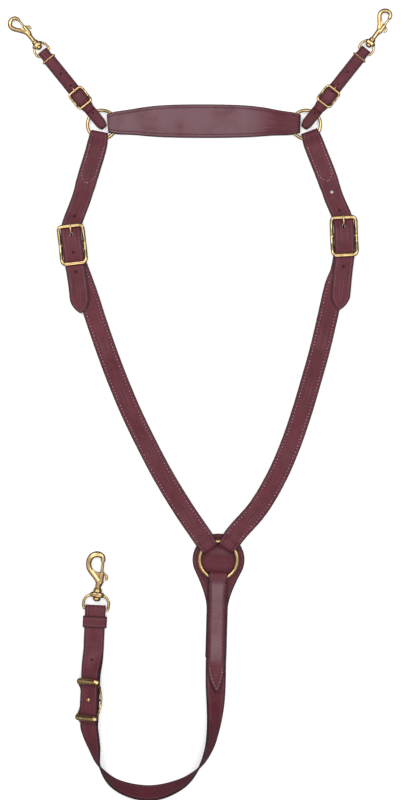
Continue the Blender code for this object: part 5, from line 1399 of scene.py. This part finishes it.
apply_modifier(keeper, "SOLIDIFY", thickness=KEEPER_WALL, offset=1.0, use_even_offset=True)
round_edges(keeper)
keeper.data.materials.append(plain_leather)
write_map(keeper, lambda i, co: (co.y, KEEPER_LENGTH / 2 - abs(co.x - keeper_at)))
bend(keeper, tie_line)
dress(keeper, "tie_keeper", "tie_keeper")

# %% [markdown]
# ## The shield
#
# The shield behind the chest ring is one round piece that flows into a tail. A circle loses
# its lowest arc, and its two loose ends are extruded down step by step and drawn together.
# The outline is filled and inset once: the border is a known width, which the map measures.
# The circle has a vertex every 3 degrees, so there is one where the flank leaves it.

# %% Shield
SHIELD_RADIUS = 32.5 * MM
SHIELD_VERTICES = 120
SHIELD_ARC_STEPS = 40
SHIELD_TAIL_HALF = 13.2 * MM
SHIELD_THICKNESS = 2.8 * MM
SHIELD_CORNER = 3.0 * MM
SHIELD_SHOULDER = radians(27)
SHIELD_FLOW_END = 62.0 * MM
SHIELD_LEAN = radians(-1.6)
SHIELD_BORDER = 4.5 * MM
SHIELD_STITCH = 3.4 * MM


def flank_points(inset=0.0, steps=8):
    """Right side of the shield below the disc, moved inwards by an inset."""
    leave = Vector((cos(SHIELD_SHOULDER), -sin(SHIELD_SHOULDER))) * (SHIELD_RADIUS - inset)
    half = SHIELD_TAIL_HALF - inset
    turn = Vector((half, leave.y - (leave.x - half) / tan(SHIELD_SHOULDER)))
    foot = Vector((half, -SHIELD_FLOW_END))
    points = []
    for step in range(steps + 1):
        share = step / steps
        points.append(leave.lerp(turn, share).lerp(turn.lerp(foot, share), share))
    return points


# %% The shield's leather
no_selection()
bpy.ops.mesh.primitive_circle_add(vertices=SHIELD_VERTICES, radius=SHIELD_RADIUS)
shield = bpy.context.active_object
shield.name = "chest_shield_leather"
flank = flank_points()
edit_select(shield, lambda co: co.y < flank[0].y - 0.01 * MM)
bpy.ops.mesh.delete(type="VERT")
edit_select(shield, lambda co: abs(co.y - flank[0].y) < 0.01 * MM)
flank.append(Vector((SHIELD_TAIL_HALF, SHIELD_CORNER - SHIELD_TAIL_END)))
for turn in (radians(30), radians(60), radians(90)):
    round_x = SHIELD_TAIL_HALF - SHIELD_CORNER * (1 - cos(turn))
    flank.append(Vector((round_x, SHIELD_CORNER * (1 - sin(turn)) - SHIELD_TAIL_END)))
for above, below in zip(flank, flank[1:]):
    down = (0, below.y - above.y, 0)
    bpy.ops.mesh.extrude_vertices_move(TRANSFORM_OT_translate={"value": down})
    bpy.ops.transform.resize(value=(below.x / above.x, 1, 1), center_override=(0, below.y, 0))
bpy.ops.mesh.edge_face_add()
bpy.ops.mesh.select_all(action="SELECT")
bpy.ops.mesh.edge_face_add()
bpy.ops.mesh.normals_make_consistent(inside=False)
bpy.ops.mesh.inset(thickness=SHIELD_BORDER)
bpy.ops.object.mode_set(mode="OBJECT")
if shield.data.polygons[0].normal.z < 0:
    shield.data.flip_normals()
inner = {index for polygon in shield.data.polygons if polygon.select for index in polygon.vertices}
write_map(shield, lambda i, co: (co.y, SHIELD_BORDER if i in inner else 0.0))
shield.data.materials.append(plain_leather)
shield.data.materials.append(edge_leather)
apply_modifier(shield, "SOLIDIFY", thickness=SHIELD_THICKNESS, offset=-1.0, material_offset_rim=1)
round_edges(shield)
shield.location = CHEST_RING + shift + Vector((0, 0, SHIELD_THICKNESS))
shield.rotation_euler.z = SHIELD_LEAN
apply_place(shield)
dress(shield, "tie", "chest_shield")

# %% The shield's stitches
edge = [Vector((SHIELD_TAIL_HALF - SHIELD_STITCH, SHIELD_STITCH - SHIELD_TAIL_END))]
edge += flank_points(SHIELD_STITCH)[::-1]
for step in range(1, SHIELD_ARC_STEPS):
    angle = -SHIELD_SHOULDER + (pi + 2 * SHIELD_SHOULDER) * step / SHIELD_ARC_STEPS
    edge.append(Vector((cos(angle), sin(angle))) * (SHIELD_RADIUS - SHIELD_STITCH))
edge += [Vector((-point.x, point.y)) for point in [*flank_points(SHIELD_STITCH), edge[0]]]
origin = CHEST_RING + shift + Vector((0, 0, SHIELD_THICKNESS + STITCH_PROUD))
lean = Matrix.Rotation(SHIELD_LEAN, 4, "Z")
points = [origin + lean @ point.to_3d() for point in edge]
sew([stitch_row(points)], "shield_stitches", "tie", dark_thread)

# %% [markdown]
# ## The rings
#
# Three cast rings join the straps. A ring is a torus, smooth enough to show clean
# highlights, at the same place and size as in the solid model.

# %% Rings
RING_SEGMENTS = 112
WIRE_SEGMENTS = 24


def ring(name, centre, height, radius, wire):
    """A round ring of round wire."""
    no_selection()
    bpy.ops.mesh.primitive_torus_add(
        location=centre + shift + Vector((0, 0, height)),
        major_segments=RING_SEGMENTS,
        minor_segments=WIRE_SEGMENTS,
        major_radius=radius,
        minor_radius=wire,
    )
    piece = bpy.context.active_object
    piece.name = name + "_cast"
    apply_place(piece)
    piece.data.materials.append(polished_brass)
    return dress(piece, name, name)


corner_ring = (CORNER_RING_Z, CORNER_RING_RADIUS, CORNER_RING_WIRE)
ring("corner_ring_left", CORNER_RING_LEFT, *corner_ring)
ring("corner_ring_right", CORNER_RING_RIGHT, *corner_ring)
ring("chest_ring", CHEST_RING, CHEST_RING_Z, CHEST_RING_RADIUS, CHEST_RING_WIRE)

# %% [markdown]
# ## Cast buckles, tongues and snaps
#
# Castings have no sharp inside corners: where a bar meets a frame or a hook meets its
# barrel, the metal flows in a small fillet. The solids give the right sizes but sharp
# joints. A copy of each solid is merged, rebuilt from small even faces by Remesh and then
# smoothed, which rounds every joint the way the mould does. Smoothing thins the metal, so
# Displace swells it again. In the photograph the buckles look a little bolder than their
# plain solids, so their ends are drawn out and their bars broadened on the way.

# %% Castings
MERGE = 0.001 * MM
BAR_MARGIN = 0.8 * MM
SWELL = 0.05 * MM


def solid_copy(node, name, finish):
    """A merged copy of a solid, in a finish."""
    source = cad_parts[node]
    piece = source.copy()
    piece.data = source.data.copy()
    piece.name = name
    bpy.context.scene.collection.objects.link(piece)
    piece.matrix_world = source.matrix_world.copy()
    piece.parent = None
    piece.rotation_mode = "XYZ"
    piece.data.materials.clear()
    piece.data.materials.append(finish)
    pick(piece)
    bpy.ops.object.mode_set(mode="EDIT")
    bpy.ops.mesh.select_all(action="SELECT")
    bpy.ops.mesh.remove_doubles(threshold=MERGE)
    bpy.ops.object.mode_set(mode="OBJECT")
    return piece


def lengthen(piece, centre, upper, lower):
    """Draw the two ends of a buckle that stands upright away from its middle bar."""
    for way, factor in ((1, upper), (-1, lower)):
        edit_select(piece, lambda co: way * (co.y - centre.y) > BUCKLE_BAR + BAR_MARGIN)
        bpy.ops.transform.resize(value=(1, factor, 1), center_override=centre)
    bpy.ops.object.mode_set(mode="OBJECT")


def turn_piece(piece, angle):
    """Turn a piece on the table about the origin."""
    piece.rotation_euler.z = angle
    apply_place(piece)


def broaden(piece, middle, axis, opening, zone, amount):
    """Make a frame's bars broader to the sides, but not what lies in its opening's zone."""
    group = piece.vertex_groups.new(name="sides")
    across = Vector((-axis.y, axis.x, 0))
    for vertex in piece.data.vertices:
        away = vertex.co - middle
        in_zone = abs(away.dot(axis)) < zone and abs(away.dot(across)) < opening
        if not in_zone:
            group.add([vertex.index], max(0.0, 1 - abs(vertex.normal.z)), "REPLACE")
    apply_modifier(piece, "DISPLACE", strength=amount, mid_level=0.0, vertex_group="sides")
    piece.vertex_groups.clear()


# %% One casting


def casting(node, voxel, rounds, swell=SWELL, lean=0.0, body=None, bars=None, longer=None):
    """A smooth copy of a solid with fillets; it stands upright while it is cut into voxels."""
    piece = solid_copy(node, node + "_cast", polished_brass)
    turn_piece(piece, -lean)
    if longer:
        lengthen(piece, Matrix.Rotation(-lean, 4, "Z") @ bars[0], *longer)
    apply_modifier(piece, "REMESH", mode="VOXEL", voxel_size=voxel)
    turn_piece(piece, lean)
    if bars:
        broaden(piece, *bars)
    apply_modifier(piece, "SMOOTH", factor=0.5, iterations=rounds)
    apply_modifier(piece, "DISPLACE", strength=swell, mid_level=0.0)
    return dress(piece, body or node, node, angle=80)


# %% [markdown]
# Small parts need finer voxels. Each side has the same castings, in its own place.

# %% All castings
SNAP_PARTS = [
    # part, voxel and swell of the small snaps, of the large snap in mm, rounds of smoothing
    ("_eye", (0.24, 0.06), (0.28, 0.05), 16),
    ("_body", (0.24, 0.08), (0.30, 0.08), 24),
    ("_bolt", (0.20, 0.05), (0.26, 0.05), 6),
]


def snap_castings(snap, heading, large=False):
    """The three castings of a bolt snap."""
    for part, small_sizes, large_sizes, rounds in SNAP_PARTS:
        voxel, swell = large_sizes if large else small_sizes
        casting(snap + part, voxel * MM, rounds, swell * MM, heading - pi / 2)


# How far a frame's opening reaches to the sides and along, and how much broader its bars get
SHOULDER_BARS = (13.5 * MM, 3.4 * MM, 0.6 * MM)
TUG_BARS = (7.4 * MM, 1.9 * MM, 0.5 * MM)
TIE_BARS = (40 * MM, 17 * MM, 0.8 * MM)
SHOULDER_LONGER = (1.14, 1.205)
TIE_BUCKLE_LEAN = radians(-2.7)


def side_castings(side, middle, lean, snap, ring_centre, heading):
    """The castings of the left or right side."""
    body = "harness"
    bars = (middle + shift, buckle_axis(lean), *SHOULDER_BARS)
    buckle = "shoulder_buckle_" + side
    casting(buckle, 0.34 * MM, 40, 0.46 * MM, lean, body, bars, SHOULDER_LONGER)
    casting("shoulder_tongue_" + side, 0.22 * MM, 8, lean=lean)
    line = (ring_centre - snap).normalized()
    lean = atan2(line.y, line.x) + pi / 2
    bars = (snap + line * TUG_BUCKLE_AT + shift, line, *TUG_BARS)
    casting("tug_buckle_" + side, 0.22 * MM, 24, 0.25 * MM, lean, "tug_" + side, bars)
    casting("tug_tongue_" + side, 0.16 * MM, 4, lean=lean)
    casting("tug_keeper_" + side, 0.16 * MM, 6, 0.10 * MM, lean)
    snap_castings("tug_snap_" + side, heading)


left_snap = (TUG_LEFT_SNAP, CORNER_RING_LEFT, LEFT_HEADING)
side_castings("left", BUCKLE_LEFT, BUCKLE_LEFT_LEAN, *left_snap)
right_snap = (TUG_RIGHT_SNAP, CORNER_RING_RIGHT, RIGHT_HEADING)
side_castings("right", BUCKLE_RIGHT, BUCKLE_RIGHT_LEAN, *right_snap)
tie_bars = (TIE_SNAP + TIE_LINE * TIE_BUCKLE_AT + shift, TIE_LINE, *TIE_BARS)
casting("tie_buckle", 0.30 * MM, 16, 0.22 * MM, TIE_BUCKLE_LEAN, "tie", tie_bars)
snap_castings("tie_snap", TIE_HEADING, large=True)

# %% [markdown]
# ## The springs
#
# Each bolt leans on a coil spring inside the barrel. When the bolt is pulled back the spring
# closes up against the bore's floor: it keeps the length that the bolt's travel leaves.

# %% Springs
for name in ("tug_snap_left", "tug_snap_right", "tie_snap"):
    spring = solid_copy(name + "_spring", name + "_coil", spring_steel)
    dress(spring, name + "_body", name + "_spring")
    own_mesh(spring)

# %% [markdown]
# ## Tidying up
#
# The route curves and the first stitch were only tools, and they are removed. The view
# transform is set to Standard.

# %% Tidy up
bpy.data.objects.remove(stitch, do_unlink=True)
for helper in [obj for obj in bpy.data.objects if obj.type == "CURVE"]:
    bpy.data.objects.remove(helper, do_unlink=True)
bpy.context.scene.view_settings.view_transform = "Standard"
